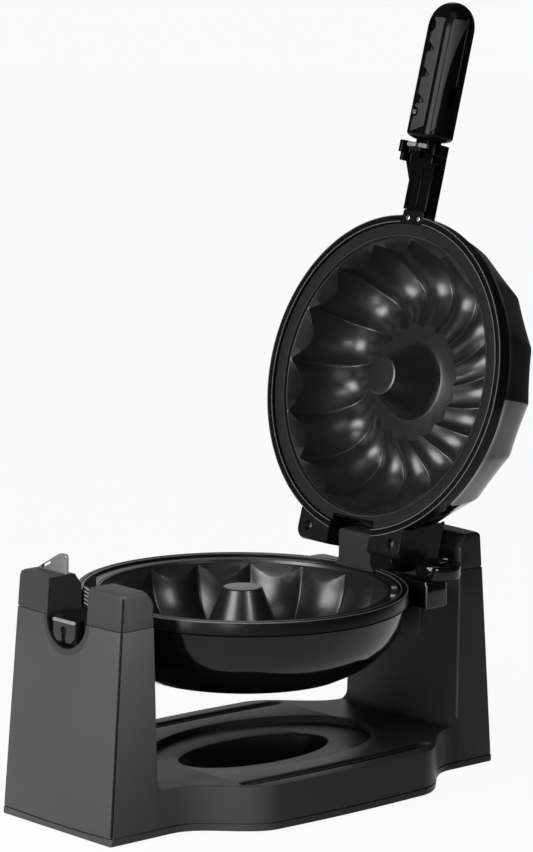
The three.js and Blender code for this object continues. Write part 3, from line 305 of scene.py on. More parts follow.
GRAIN = moulding_grain_group()
SPECKLE = coat_speckle_group()
WEAR = handling_wear_group()


def placed(tree, node_group, **values):
    node = shader_node(tree, "Group")
    node.node_tree = node_group
    set_inputs(node, values)
    return node


def paint(tree, shader, factor, low, high):
    """Base colour that runs from low to high as the factor runs from 0 to 1."""
    mix = shader_node(tree, "Mix")
    mix.data_type = "RGBA"
    tree.links.new(factor, mix.inputs["Factor"])
    set_inputs(mix, {"A": (*low, 1), "B": (*high, 1)})
    tree.links.new(mix.outputs["Result"], shader.inputs["Base Color"])


def sheen(tree, shader, factor, low, high):
    """Roughness that runs from low to high as the factor runs from 0 to 1."""
    span = shader_node(tree, "MapRange", To_Min=low, To_Max=high)
    tree.links.new(factor, span.inputs["Value"])
    tree.links.new(span.outputs["Result"], shader.inputs["Roughness"])


def bump(tree, shader, height, distance, strength):
    node = shader_node(tree, "Bump", Strength=strength, Distance=distance)
    tree.links.new(height, node.inputs["Height"])
    tree.links.new(node.outputs["Normal"], shader.inputs["Normal"])


def blank(name, level, metallic=0.0):
    material = bpy.data.materials.new(name)
    material.use_nodes = True
    tree = material.node_tree
    shader = tree.nodes["Principled BSDF"]
    set_inputs(shader, {"Specular IOR Level": level, "Metallic": metallic})
    return material, tree, shader


# Each of these gives a finish: a material and the slot that it stands for.
def satin_moulding(name, slot, colour, roughness, grain=0.12, size=900.0, level=0.5):
    material, tree, shader = blank(name, level)
    texture = placed(tree, GRAIN, Grain_Size=size, Drift_Size=11.0)
    drift = texture.outputs["Drift"]
    paint(tree, shader, drift, tuple(c * 0.9 for c in colour), colour)
    sheen(tree, shader, drift, roughness - 0.03, roughness + 0.03)
    bump(tree, shader, texture.outputs["Height"], 0.0002, grain)
    return material, slot


def polished_shell(name, slot, colour, roughness, level):
    material, tree, shader = blank(name, level)
    marks = placed(tree, WEAR, Mark_Size=26.0, Amount=0.35).outputs["Mask"]
    paint(tree, shader, marks, colour, tuple(c * 1.25 + 0.001 for c in colour))
    sheen(tree, shader, marks, roughness, roughness + 0.08)
    texture = placed(tree, GRAIN, Grain_Size=120.0, Drift_Size=11.0)
    bump(tree, shader, texture.outputs["Height"], 0.0004, 0.02)
    return material, slot


def coated_casting(name, slot, colour, fleck_colour, roughness, level):
    material, tree, shader = blank(name, level)
    speckle = placed(tree, SPECKLE, Fleck_Size=1300.0, Fleck_Share=0.22)
    paint(tree, shader, speckle.outputs["Fleck"], colour, fleck_colour)
    sheen(tree, shader, speckle.outputs["Peel"], roughness - 0.05, roughness + 0.05)
    bump(tree, shader, speckle.outputs["Peel"], 0.0003, 0.1)
    return material, slot


def brushed_metal(name, slot, colour, roughness):
    material, tree, shader = blank(name, 0.5, 1.0)
    texture = placed(tree, GRAIN, Grain_Size=600.0, Drift_Size=40.0)
    paint(tree, shader, texture.outputs["Height"], tuple(c * 0.8 for c in colour), colour)
    sheen(tree, shader, texture.outputs["Drift"], roughness - 0.08, roughness + 0.08)
    bump(tree, shader, texture.outputs["Height"], 0.0001, 0.1)
    return material, slot


def grey(value):
    return value, value, value


STAND_SATIN = satin_moulding("stand_satin", "satin_black", grey(0.037), 0.42, level=0.12)
CAP_SATIN = satin_moulding("cap_satin", "satin_charcoal", grey(0.024), 0.5, 0.2, level=0.12)
SHELL_GLOSS = polished_shell("shell_gloss", "gloss_black", grey(0.002), 0.1, 0.25)
GRIP_GLOSS = polished_shell("grip_gloss", "gloss_black", grey(0.002), 0.2, 0.06)
RIM_LACQUER = satin_moulding("rim_lacquer", "ring_grey", grey(0.004), 0.26, 0.05, 1200.0, 0.1)
PLATE_COAT = coated_casting("plate_coat", "non_stick", grey(0.005), grey(0.02), 0.33, 0.4)
HINGE_SATIN = satin_moulding("hinge_satin", "hinge_grey", grey(0.018), 0.45, level=0.15)
# A grey satin for the fin, which also serves for beads of painted highlight.
FIN_AND_HIGHLIGHT_SATIN = satin_moulding("fin_and_highlight_satin", "hinge_grey", grey(0.07), 0.45)
# A pale satin that stands for painted highlights and painted reflections.
PAINTED_HIGHLIGHT_SATIN = satin_moulding("painted_highlight_satin", "hinge_grey", grey(0.028), 0.4, level=0.12)
# A pale satin, which also serves for painted highlights on edges and ribs.
HIGHLIGHT_AND_PALE_SATIN = satin_moulding("highlight_and_pale_satin", "hinge_grey", grey(0.12), 0.4)
# The shafts' black satin, which also serves for the sheets and lines of painted shade.
SHAFT_AND_SHADE_SATIN = satin_moulding("shaft_and_shade_satin", "satin_black", grey(0.006), 0.6, level=0.05)
LUG_SATIN = satin_moulding("lug_satin", "satin_black", grey(0.005), 0.36, 0.08, level=0.12)
SCREW_STEEL = brushed_metal("screw_steel", "steel", (0.35, 0.35, 0.36), 0.32)
FUSE_BRASS = brushed_metal("fuse_brass", "brass", (0.6, 0.45, 0.2), 0.35)
FOOT_RUBBER = satin_moulding("foot_rubber", "rubber", grey(0.015), 0.8, 0.3)


# Forms: loose bodies in millimetres, which are carved and then settled on their seat.
def smooth_run(points, steps):
    """A Catmull-Rom run through the points, with this many steps between each two."""
    ends = [[2 * a - b for a, b in zip(points[0], points[1])], *points,
            [2 * a - b for a, b in zip(points[-1], points[-2])]]
    run = []
    for k in range(1, len(ends) - 2):
        for i in range(steps):
            t = i / steps
            run.append(tuple(
                0.5 * (2 * b + (c - a) * t + (2 * a - 5 * b + 4 * c - d) * t * t
                       + (3 * b - a - 3 * c + d) * t ** 3)
                for a, b, c, d in zip(*ends[k - 1:k + 3])
            ))
    run.append(tuple(points[-1]))
    return run


def arc(centre, radius, first, last, steps):
    """The points along an arc, from its first angle to its last."""
    turns = [first + (last - first) * i / steps for i in range(steps + 1)]
    return [(centre[0] + radius * cos(a), centre[1] + radius * sin(a)) for a in turns]


def rounded(x, y, corner, steps=5, far_rows=0):
    """The outline of a rectangle with round corners. Extra points may divide its far side."""
    (x0, x1), (y0, y1) = x, y
    left, right, low, high = x0 + corner, x1 - corner, y0 + corner, y1 - corner
    outline = []
    for quarter, centre in enumerate(((right, high), (left, high), (left, low), (right, low))):
        outline += arc(centre, corner, pi / 2 * quarter, pi / 2 * (quarter + 1), steps)
    for i in range(1, far_rows):
        outline.append((x1, y0 + corner + (y1 - y0 - 2 * corner) * i / far_rows))
    return outline


MOST_OF_SIDE = 0.45


def softened(outline, reach, steps=4):
    """An outline with each of its corners rounded off, starting this far from the corner."""
    soft = []
    for k, (cx, cy) in enumerate(outline):
        corner = Vector((cx, cy))
        before = Vector(outline[k - 1]) - corner
        after = Vector(outline[(k + 1) % len(outline)]) - corner
        first, last = [corner + side.normalized() * min(reach, side.length * MOST_OF_SIDE)
                       for side in (before, after)]
        for i in range(steps + 1):
            t = i / steps
            soft.append(tuple(first * (1 - t) ** 2 + corner * 2 * t * (1 - t) + last * t * t))
    return soft


def around(x, z, *steps):
    """The points at these steps from a corner."""
    return [(x + a, z + b) for a, b in steps]


def shrunk(outline, inset):
    """An outline drawn in towards its middle."""
    xs, ys = [p[0] for p in outline], [p[1] for p in outline]
    cx, cy = (min(xs) + max(xs)) / 2, (min(ys) + max(ys)) / 2
    fx, fy = 1 - 2 * inset / (max(xs) - min(xs)), 1 - 2 * inset / (max(ys) - min(ys))
    return [(cx + (px - cx) * fx, cy + (py - cy) * fy) for px, py in outline]


def upright(point):
    return point


def lengthways(point):
    """From a plan of Y and Z, stacked along X."""
    a, b, along = point
    return (along, a, b)


def crossways(point):
    """From a plan of X and Z, stacked along Y."""
    a, b, along = point
    return (a, along, b)


def weld(mesh, reach, facing=True):
    """Merges the points that meet, and turns the faces outwards."""
    work = bmesh.new()
    work.from_mesh(mesh)
    bmesh.ops.remove_doubles(work, verts=work.verts, dist=reach)
    if facing:
        bmesh.ops.recalc_face_normals(work, faces=work.faces)
    work.to_mesh(mesh)
    work.free()


def form(points, faces):
    mesh = bpy.data.meshes.new("form")
    mesh.from_pydata([tuple(p) for p in points], [], [tuple(f) for f in faces])
    weld(mesh, 1e-4)
    return placed_object("form", mesh)


def loft(rings, capped=True):
    """A body over rings. Rings have one length, except that a ring of one point is a pole."""
    points, faces, start = list(rings[0]), [], 0
    for before, ring in zip(rings, rings[1:]):
        here = start + len(before)
        count = max(len(before), len(ring))
        for i in range(count):
            j = (i + 1) % count
            face = []
            for base, loop, places in ((start, before, (i, j)), (here, ring, (j, i))):
                face.extend([base] if len(loop) == 1 else [base + k for k in places])
            faces.append(face)
        points.extend(ring)
        start = here
    if capped:
        for base, loop in ((0, rings[0]), (start, rings[-1])):
            if len(loop) > 2:
                faces.append([base + i for i in range(len(loop))])
    return form(points, faces)


def stacked(outlines, way=upright):
    """A body through outlines that each lie at a level of their own."""
    return loft([[way((a, b, level)) for a, b in outline] for outline, level in outlines])


def prism(outline, low, high, way=upright):
    return stacked([(outline, low), (outline, high)], way)


def eased_stack(outline, low, high, ease, way=upright):
    """An outline drawn out from low to high, with its edges eased at both ends."""
    knee = 0.3 * ease
    levels = [(low, ease), (low + knee, knee), (low + ease, 0.0),
              (high - ease, 0.0), (high - knee, knee), (high, ease)]
    return stacked([(shrunk(outline, inset), level) for level, inset in levels], way)


def soft_block(x, y, z, corner=1.5, ease=0.6, way=upright):
    """A block with round corners in plan. Its three spans follow the way it is stacked."""
    return eased_stack(rounded(x, y, corner, 4), z[0], z[1], ease, way)


def ring_points(radius, level, count, way=upright):
    angles = [TAU * i / count for i in range(count)]
    return [way((radius * cos(a), radius * sin(a), level)) for a in angles]


def turned(profile, count=128, way=upright, shift=(0, 0, 0)):
    """A body turned from radius and level, which closes on itself or ends on the axis."""
    rings = [ring_points(r, z, count, way) if r > 1e-6 else [way((0, 0, z))] for r, z in profile]
    return moved(loft(rings, capped=False), Matrix.Translation(shift))


def moved(body, place):
    body.data.transform(place)
    return body


def rod(radius, low, high, shift=(0, 0, 0), count=48, way=upright):
    """A plain rod, for boring a hole."""
    body = loft([ring_points(radius, level, count, way) for level in (low, high)])
    return moved(body, Matrix.Translation(shift))


def slab(x, y, z):
    """A plain slab, for cutting away."""
    return prism([(x[0], y[0]), (x[1], y[0]), (x[1], y[1]), (x[0], y[1])], *z)


def mid_slab(half, x, z):
    """A plain slab across the middle, this far to each side."""
    return slab(x, (-half, half), z)


def carve(body, *tools, how="DIFFERENCE"):
    """Cuts the tools out of the body, or joins them to it, or keeps what lies in them."""
    for tool in tools:
        step = body.modifiers.new("carve", "BOOLEAN")
        step.operation = how
        step.object = tool
        step.solver = "EXACT"
    bpy.context.view_layer.update()
    seen = body.evaluated_get(bpy.context.evaluated_depsgraph_get())
    mesh = bpy.data.meshes.new_from_object(seen)
    body.modifiers.clear()
    body.data = mesh
    for tool in tools:
        bpy.data.objects.remove(tool)
    return body


def common(body, *shapes):
    return carve(body, *shapes, how="INTERSECT")


def together(bodies):
    """One body from several that only touch."""
    first = bodies[0]
    joined = bmesh.new()
    for body in bodies:
        joined.from_mesh(body.data)
    joined.to_mesh(first.data)
    joined.free()
    for body in bodies[1:]:
        bpy.data.objects.remove(body)
    return first


def settle(body, name, seat, finish, replaces="", sharp=30):
    """Names, places and finishes a body, and says what it rides on and stands for."""
    place, rides = seat
    material, slot = finish
    body.name = name
    body.data.name = name
    body.data.transform(Matrix.Scale(MM, 4) @ place)
    weld(body.data, 1e-7, facing=False)
    shade(body.data, material, sharp)
    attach(body, rides)
    if replaces:
        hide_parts(*replaces.split())


def shade(mesh, material, sharp):
    mesh.materials.clear()
    mesh.materials.append(material)
    mesh.shade_smooth()
    mesh.set_sharp_from_angle(angle=radians(sharp))


def on_cad(names, finish, bevel=0.0, sharp=35):
    """A CAD node keeps its shape and gets its finish, with its edges eased."""
    for name in names.split():
        node = nodes[name]
        if bevel:
            flat = node.modifiers.new("flat_faces", "DECIMATE")
            flat.decimate_type = "DISSOLVE"
            flat.angle_limit = radians(0.5)
            edge = node.modifiers.new("eased_edges", "BEVEL")
            edge.width = bevel * MM
            edge.segments = 2
            edge.limit_method = "ANGLE"
            edge.angle_limit = radians(sharp)
        shade(node.data, finish[0], sharp)


# The stand.
def half_width(z, foot=PEDESTAL_WIDTH, top=PEDESTAL_TOP_WIDTH):
    return (foot + (top - foot) * z / PEDESTAL_HEIGHT) / 2


def outer_x(z):
    return half_width(z, STAND_LENGTH, TOP_LENGTH)


def inner_x(side, z):
    return PEDESTAL_FOOT[side] + INNER_LEAN * (z - DECK_HEIGHT) / (PEDESTAL_HEIGHT - DECK_HEIGHT)


def bow(y, z):
    return OUTER_BOW * max(0.0, 1 - (y / half_width(z)) ** 2)


def pedestal_ring(side, z, inset=0.0, back=0.0, corner=1.8):
    """A level section of a pedestal, whose outer face bows out."""
    near, far = inner_x(side, z) + back + 0.5 * inset, outer_x(z) - inset
    half = half_width(z) - inset
    ring = []
    for x, y in rounded((near, far), (-half, half), corner, 6, far_rows=16):
        share = max(0.0, (x - near) / (far - near)) ** 4
        ring.append((side * (x + bow(y, z) * share), y, z))
    return ring


def cut_back(z):
    """How far the chamfer at the top draws a pedestal's inner face back."""
    return max(0.0, z - CHAMFER_START) * CHAMFER_RUN / CHAMFER_DROP


def arch(radius, swell=0.0):
    """The round foot of the notch at a radius, wider at the bottom by the swell."""
    points = []
    for i in range(ARCH_STEPS + 1):
        angle = pi * (1 + i / ARCH_STEPS)
        wide = radius - swell * sin(angle)
        points.append((wide * cos(angle), AXIS_HEIGHT + wide * sin(angle)))
    return points


def notch_tool():
    """The open U that the half shafts lie in."""
    mouth = [(NOTCH_RADIUS, NOTCH_MOUTH), (-NOTCH_RADIUS, NOTCH_MOUTH)]
    return prism(mouth + arch(NOTCH_RADIUS), *NOTCH_SPAN, lengthways)


def notch_ring():
    """The raised lip round the foot of the U, wider at the bottom."""
    outline = arch(NOTCH_RADIUS + 3.4, 1.3) + arch(NOTCH_RADIUS)[::-1]
    shape = loft([pedestal_ring(FRONT, z, -0.2) for z in (120, SEAM_HEIGHT - 0.2)])
    return common(prism(outline, -215.0, -182.0, lengthways), shape)


def notch_painted_shade():
    """A dark sheet of painted shade in the open U, a little short of the front."""
    outer, inner, top = NOTCH_RADIUS + 0.3, NOTCH_RADIUS - 0.42, PEDESTAL_HEIGHT + 5.0
    outline = [(outer, top), (inner, top), *reversed(arch(inner)), (-inner, top), (-outer, top),
               *arch(outer)]
    levels = (120, CHAMFER_START, PEDESTAL_HEIGHT - 0.5)
    shape = loft([pedestal_ring(FRONT, z, 0.5, cut_back(z)) for z in levels])
    return common(prism(outline, -215.0, -130.0, lengthways), shape)


def edge_bar(side, sign, levels, first, last):
    """A slim bar down the front pedestal's outer corner, or down the rear one's inner corner."""
    rings = []
    for z in levels:
        x = -outer_x(z) if side == FRONT else inner_x(REAR, z)
        y = sign * half_width(z)
        corners = ((first, first), (last, first), (last, last), (first, last))
        rings.append([(x + a, y - sign * b, z) for a, b in corners])
    return loft(rings)


def painted_shade_line(sign):
    """The line of painted shade in the front pedestal's groove, parted at the seam."""
    spans = ((HOUSING_FLOOR + 1, SEAM_HEIGHT - 0.4), (SEAM_HEIGHT + 0.8, 187.0))
    return together([edge_bar(FRONT, sign, levels, 0.5, 1.9) for levels in spans])


# The grooves down the front pedestal's outer corners, which hold the lines of painted shade.
def edge_grooves(*levels):
    return [edge_bar(FRONT, sign, levels, -2.0, 1.7) for sign in (-1, 1)]


def bearing_tool():
    return rod(BEARING_RADIUS, *BEARING_SPAN, (0, 0, AXIS_HEIGHT), 64, lengthways)


def pedestal_skin(side):
    foot = around(HOUSING_FLOOR, 0, (0, 0.7), (0.3, 0.2), (0.9, 0))
    shaft = [(z, 0) for z in (36, 60, 85, 110, 135)]
    seam = around(SEAM_HEIGHT, 0, (-0.9, 0), (-0.35, 0.2), (-0.1, 0.6))
    body = loft([pedestal_ring(side, z, inset) for z, inset in foot + shaft + seam])
    if side == FRONT:
        return carve(body, notch_tool(), *edge_grooves(HOUSING_FLOOR - 1, SEAM_HEIGHT + 1))
    return carve(body, bearing_tool())


def cap_form(side):
    levels = [*around(SEAM_HEIGHT, 0, (0.35, 0.6), (0.6, 0.2), (1.2, 0)), (172, 0),
              *around(CHAMFER_START, 0, (-0.4, 0), (0.4, 0)), (185, 0), (187.4, 0),
              (188.6, 0.3), (189.5, 0.9), (190.1, 1.7), (190.4, 2.5), (190.5, 3.3)]
    return loft([pedestal_ring(side, z, inset, cut_back(z), 2.6) for z, inset in levels])


def front_cap(sign):
    other = (-80.0, 0.0) if sign > 0 else (0.0, 80.0)
    return carve(cap_form(FRONT), notch_tool(), slab((-230, -100), other, (100, NOTCH_MOUTH)),
                 *edge_grooves(SEAM_HEIGHT - 1, 187.6))


def stop_fin():
    """The thin fin that rises from the far corner of the front cap to the notch, with its slot."""
    top, near, far = PEDESTAL_HEIGHT, NOTCH_RADIUS + 8.0, half_width(PEDESTAL_HEIGHT)
    outline = [(NOTCH_RADIUS, top - 9.0), (NOTCH_RADIUS, top + FIN_PEAK), (near, top + FIN_PEAK),
               (far - 2.5, top - 0.5), (far - 2.5, top - 9.0)]
    blade = eased_stack(softened(outline, 2.6, 5), FIN_X - FIN_THICKNESS, FIN_X, 0.5,
                        lengthways)
    run = far - NOTCH_RADIUS - 8.0
    slot = [(near + run * share, top + FIN_PEAK * (1 - share) + drop)
            for share, drop in ((0.36, -1.4), (0.72, -1.4), (0.72, -4.2), (0.36, -4.2))]
    return carve(blade, prism(softened(slot, 1.0), FIN_X - 8.0, FIN_X + 5.0, lengthways))


def deck_half(x):
    wide, narrow = DECK_WIDTH / 2 - DECK_BOW, half_width(DECK_HEIGHT) - 0.15
    along = abs(x - DECK_SHIFT)
    if along <= DECK_SHOULDER:
        return wide + DECK_BOW * (1 - (along / DECK_SHOULDER) ** 2)
    if along >= DECK_WAIST:
        return narrow
    share = (along - DECK_SHOULDER) / (DECK_WAIST - DECK_SHOULDER)
    eased = share ** 3 * (6 * share ** 2 - 15 * share + 10)
    return wide + (narrow - wide) * eased


def oval_half(x, length, width):
    return width / 2 * sqrt(max(0.0, 1 - (2 * x / length) ** 2))


def slot_half(x):
    past = max(0.0, abs(x - SLOT_SHIFT) - SLOT_LENGTH / 2 + SLOT_WIDTH) / SLOT_WIDTH
    return SLOT_WIDTH / 2 * sqrt(max(0.0, 1 - past ** 2))


def deck_rows(x):
    """Half a section of the deck at x, from its foot outside to the well in the middle."""
    fillet_start = PEDESTAL_FOOT[REAR if x > 0 else FRONT] - FOOT_FILLET
    reach = min(max(0.0, abs(x) - fillet_start), FOOT_FILLET)
    top = DECK_HEIGHT + FOOT_FILLET - sqrt(FOOT_FILLET ** 2 - reach ** 2)
    edge = deck_half(x)
    foot = edge + DECK_DRAFT * (DECK_HEIGHT - HOUSING_FLOOR)
    slot, recess = slot_half(x), oval_half(x - RECESS_SHIFT, RECESS_LENGTH, RECESS_WIDTH)
    well = oval_half(x, WELL_LENGTH, WELL_WIDTH)
    middle = DECK_WIDTH / 2 - SLOT_INSET - DECK_BOW * (x / DECK_SHOULDER) ** 2
    middle = min(middle, edge - slot - 4.0)
    eased, lip, rim = [1.0 if half > 0 else 0.0 for half in (slot, recess, well)]
    sunk, floor = SLOT_DEPTH * eased, top - RECESS_DEPTH * lip
    through = HOUSING_FLOOR if well > 0 else floor
    step = [(slot + 0.7 * eased, 0), (slot, 0.6 * eased), (slot, 0.5 * sunk),
            (0.6 * slot, 0.5 * sunk), (0.6 * slot, sunk)]
    return [
        (foot - 0.6, HOUSING_FLOOR), (foot, HOUSING_FLOOR + 0.5),
        *around(edge, top, (0, -1.0), (-0.15, -0.4), (-0.4, -0.15), (-1.0, 0)),
        *((middle + a, top - b) for a, b in step),
        *((middle - a, top - b) for a, b in reversed(step)),
        *around(recess, top, (2.2 * lip, 0), (0.8 * lip, -0.35 * lip), (0, -1.2 * lip)),
        (recess - min(recess, 1.2), floor + 0.8 * lip),
        (recess - min(recess, 2.4), floor),
        (min(well + 1.4 * rim, max(well, recess - 2.4)), floor),
        (well + 0.4 * rim, floor - 0.4 * rim), (well, floor - 1.4 * rim), (well, through),
    ]


def deck_stations():
    places = set(range(-DECK_END, DECK_END + 1, 2))
    for end, shift in ((RECESS_LENGTH / 2, RECESS_SHIFT), (WELL_LENGTH / 2, 0),
                       (SLOT_LENGTH / 2, SLOT_SHIFT)):
        for back in (0.02, 0.15, 0.5, 1.0, 1.6, 2.4, 3.5, -0.02):
            places |= {round(shift + end - back, 3), round(shift + back - end, 3)}
    for side in (FRONT, REAR):
        for i in range(FILLET_STEPS + 1):
            fillet = FOOT_FILLET * sin(pi / 2 * i / FILLET_STEPS)
            places.add(round(side * (PEDESTAL_FOOT[side] - FOOT_FILLET + fillet), 3))
    return sorted(places)


def deck_skin():
    """The deck between the pedestals: its slots, its sunken oval and the well through it."""
    points, faces = [], []
    stations = deck_stations()
    rows = len(deck_rows(0))
    for x in stations:
        half = deck_rows(x)
        points.extend(Vector((x, y, z)) for y, z in half)
        points.extend(Vector((x, -y, z)) for y, z in half)
    for k in range(len(stations) - 1):
        for i in [side + i for side in (0, rows) for i in range(rows - 1)]:
            a, b = 2 * rows * k + i, 2 * rows * (k + 1) + i
            first, second = points[b + 1] - points[a], points[b] - points[a + 1]
            if first.cross(second).length > 1e-6:
                faces.append((a, a + 1, b + 1, b))
    return form(points, faces)


def base_skin():
    """The base plate under the deck and both pedestals, bored for its feet and screws."""
    end, corner, steps = STAND_LENGTH / 2, 1.6, 160
    stations = {round(-end + STAND_LENGTH * i / steps, 3) for i in range(steps + 1)}
    stations |= {side * x for side in (FRONT, REAR) for x in (153.9, 199.6, 200.2)}
    rings = []
    for x in sorted(stations):
        left = end - abs(x)
        tuck = corner - sqrt(max(0.0, corner ** 2 - max(0.0, corner - left) ** 2))
        edge = deck_half(x) + 0.55
        if abs(x) > DECK_WAIST:
            edge = max(edge, PEDESTAL_WIDTH / 2)
        edge -= tuck
        half = [(edge - 0.5, 0.0), (edge, 0.5), (edge, BASE_THICKNESS - 0.6),
                (edge - 0.6, BASE_THICKNESS)]
        half += [(edge * share, BASE_THICKNESS) for share in (0.8, 0.6, 0.4, 0.2, 0.0)]
        row = half + [(-y, z) for y, z in reversed(half[:-1])]
        fade = max(0.0, 1 - left / 30) ** 2
        rings.append([(x + copysign(bow(y, 0) * fade, x), y, z) for y, z in row])
    seats = [rod(FOOT_SEAT, -5, 2.3, (x, y, 0)) for x, y in FOOT_PLACES]
    holes = [rod(SCREW_HOLE, -5, 2.6, (x, y, 0), 24) for x, y in SCREW_PLACES]
    return carve(loft(rings), *seats, *holes)


def rubber_foot(place):
    profile = [(0, -2), (6.8, -2), (7.8, -1.8), (8.6, -1.2), (9, -0.3), (9, 2), (0, 2)]
    return turned(profile, 48, shift=(*place, 0))


def dress_stand():
    for side, name in ((FRONT, "front"), (REAR, "rear")):
        settle(pedestal_skin(side), f"{name}_pedestal", STAND, STAND_SATIN)
    settle(deck_skin(), "deck", STAND, STAND_SATIN, "stand_housing")
    settle(base_skin(), "base_plate_skin", STAND, STAND_SATIN, "base_plate")
    for cap, sign in (("front_cap_left", 1), ("front_cap_right", -1)):
        settle(front_cap(sign), f"{cap}_skin", STAND, CAP_SATIN, cap, 24)
    # The lip is drawn in the caps' darker satin, as painted shade on its bevel.
    settle(notch_ring(), "notch_ring", STAND, (CAP_SATIN[0], "satin_black"))
    # A dark sheet of painted shade inside the notch.
    settle(notch_painted_shade(), "notch_painted_shade", STAND, SHAFT_AND_SHADE_SATIN)
    for side, sign in (("right", -1), ("left", 1)):
        # A line of painted shade down the front pedestal's corner.
        settle(painted_shade_line(sign), f"painted_shade_line_{side}", STAND, SHAFT_AND_SHADE_SATIN)
        # A pale bead of painted highlight down the rear pedestal's inner corner.
        bead = edge_bar(REAR, sign, (DECK_HEIGHT + 7, CHAMFER_START), -0.1, 1.2)
        settle(bead, f"rear_edge_highlight_{side}", STAND, FIN_AND_HIGHLIGHT_SATIN)
    settle(stop_fin(), "stop_fin", STAND, FIN_AND_HIGHLIGHT_SATIN)
    rear_cap = carve(cap_form(REAR), bearing_tool())
    settle(rear_cap, "rear_cap_skin", STAND, CAP_SATIN, "rear_cap", 24)
    for number, place in enumerate(FOOT_PLACES, 1):
        foot = f"foot_{number}"
        settle(rubber_foot(place), f"{foot}_pad", STAND, FOOT_RUBBER, foot)
    on_cad("cord_gland", FOOT_RUBBER, 0.3)
    on_cad("base_screw_1 base_screw_2 base_screw_3 base_screw_4", SCREW_STEEL, 0.2)
    on_cad("rear_bush", SCREW_STEEL, 0.3)


# The cooker's two halves.
def scaled(shares, radius, depth):
    return [(radius * r, depth * d) for r, d in shares]


# Places across one flute, closer together beside the creases, which have a small fillet.
ACROSS = [-1, -0.975, -0.95, -0.92, -0.87, -0.78, -0.65, -0.5, -0.33, -0.16,
          0, 0.16, 0.33, 0.5, 0.65, 0.78, 0.87, 0.92, 0.95, 0.975]
FILLET_START, FILLET_RISE, FILLET_BEND = 0.93, 0.07, 13.3


def fluted(first, second, turn=0.0):
    """A ring from a crease to the middle of a lobe or panel and back, sixteen times."""
    (r0, z0), (r1, z1) = first, second
    ring = []
    for flute in range(FLUTES):
        for across in ACROSS:
            share = 1 - across * across
            if abs(across) > FILLET_START:
                share = FILLET_RISE + FILLET_BEND * (1 - abs(across)) ** 2
            radius = r0 + (r1 - r0) * share
            angle = turn + TAU * (flute + 0.5 + across / 2) / FLUTES
            x, y = radius * cos(angle), radius * sin(angle)
            ring.append((x, y, z0 + (z1 - z0) * share))
    return ring


def even_ring(radius, level):
    """A plain ring whose points stand where those of a fluted ring do."""
    return fluted((radius, level), (radius, level))


def plate_skin():
    """The fluted casting with its cone, its flat ring and its underside."""
    tip, floor = GROOVE[-1][0], CAVITY_DEPTH * GROOVE[-1][1]
    cone = [*around(CONE_TOP, PARTING_GAP, (-1.5, 0), (-0.4, 0.1), (0.6, 0.7), (1.1, 1.9)),
            *around(CONE_FOOT, floor, (-2.6, -5.5), (-1.4, -2.6), (0.3, -0.9), (3, -0.1))]
    rings = [[(0, 0, PARTING_GAP)], *(even_ring(r, z) for r, z in cone)]
    grooves = reversed(smooth_run(scaled(GROOVE, CAVITY_RADIUS, CAVITY_DEPTH), 5))
    lobes = reversed(smooth_run(scaled(LOBE, CAVITY_RADIUS, CAVITY_DEPTH), 5))
    for groove, lobe in zip(grooves, lobes):
        turn = SWIRL * ((1 - groove[0] / CAVITY_RADIUS) / (1 - tip)) ** 2
        rings.append(fluted(groove, lobe, turn))
    edge = CAVITY_DEPTH * GROOVE[0][1]
    step = edge - CAVITY_STEP
    outside = [*around(CAVITY_RADIUS, edge, (0.3, 0), (0.8, -0.1), (1.0, -0.5)),
               *around(CAVITY_RADIUS, step, (1.1, 0.5), (1.3, 0.1), (1.8, 0)),
               *around(PLATE_RADIUS, PLATE_FACE, (-0.8, 0), (0, 0.8), (0, PLATE_FLANGE)),
               *scaled(UNDERSIDE, CAVITY_RADIUS, CAVITY_DEPTH),
               *around(CONE_TOP, PARTING_GAP, (0, 12.5), (-1.7, 3.6))]
    rings += [even_ring(r, z) for r, z in outside]
    return loft(rings + [[(0, 0, PARTING_GAP + 3.6)]], capped=False)


NECK = RIM_RADIUS - RING_WALL - 0.3
SHELL_TOP = PARTING_GAP + RING_LIP + 0.3
SHOULDER = PARTING_GAP + RING_HEIGHT + 0.3
LEDGE = NECK - SHELL_WALL - 3.0
MOUTH = [(RIM_RADIUS - 0.6, SHOULDER + 0.8), (RIM_RADIUS - 1.4, SHOULDER), (NECK, SHOULDER),
         (NECK, SHELL_TOP), (LEDGE, SHELL_TOP), (LEDGE, SHELL_TOP + 3.2)]


def bowl_skin():
    outer = smooth_run(scaled(BOWL, RIM_RADIUS, BOWL_DEPTH), 6)
    foot = [(r, BOWL_DEPTH - rise) for r, rise in ((0, 0.6), (60, 0.6), (70, 0.5), (79, 0.2))]
    return turned(foot + outer[::-1] + MOUTH, RIM_STEPS)


def riser_room(margin=0.0, wall=0.0):
    """The space that the riser turns in, or the same with a wall or a margin round it."""
    return mid_slab(ROOM_HALF + margin, (ROOM_FRONT - wall - margin, 150),
                    (CUT_FLOOR, ROOM_TOP + margin))


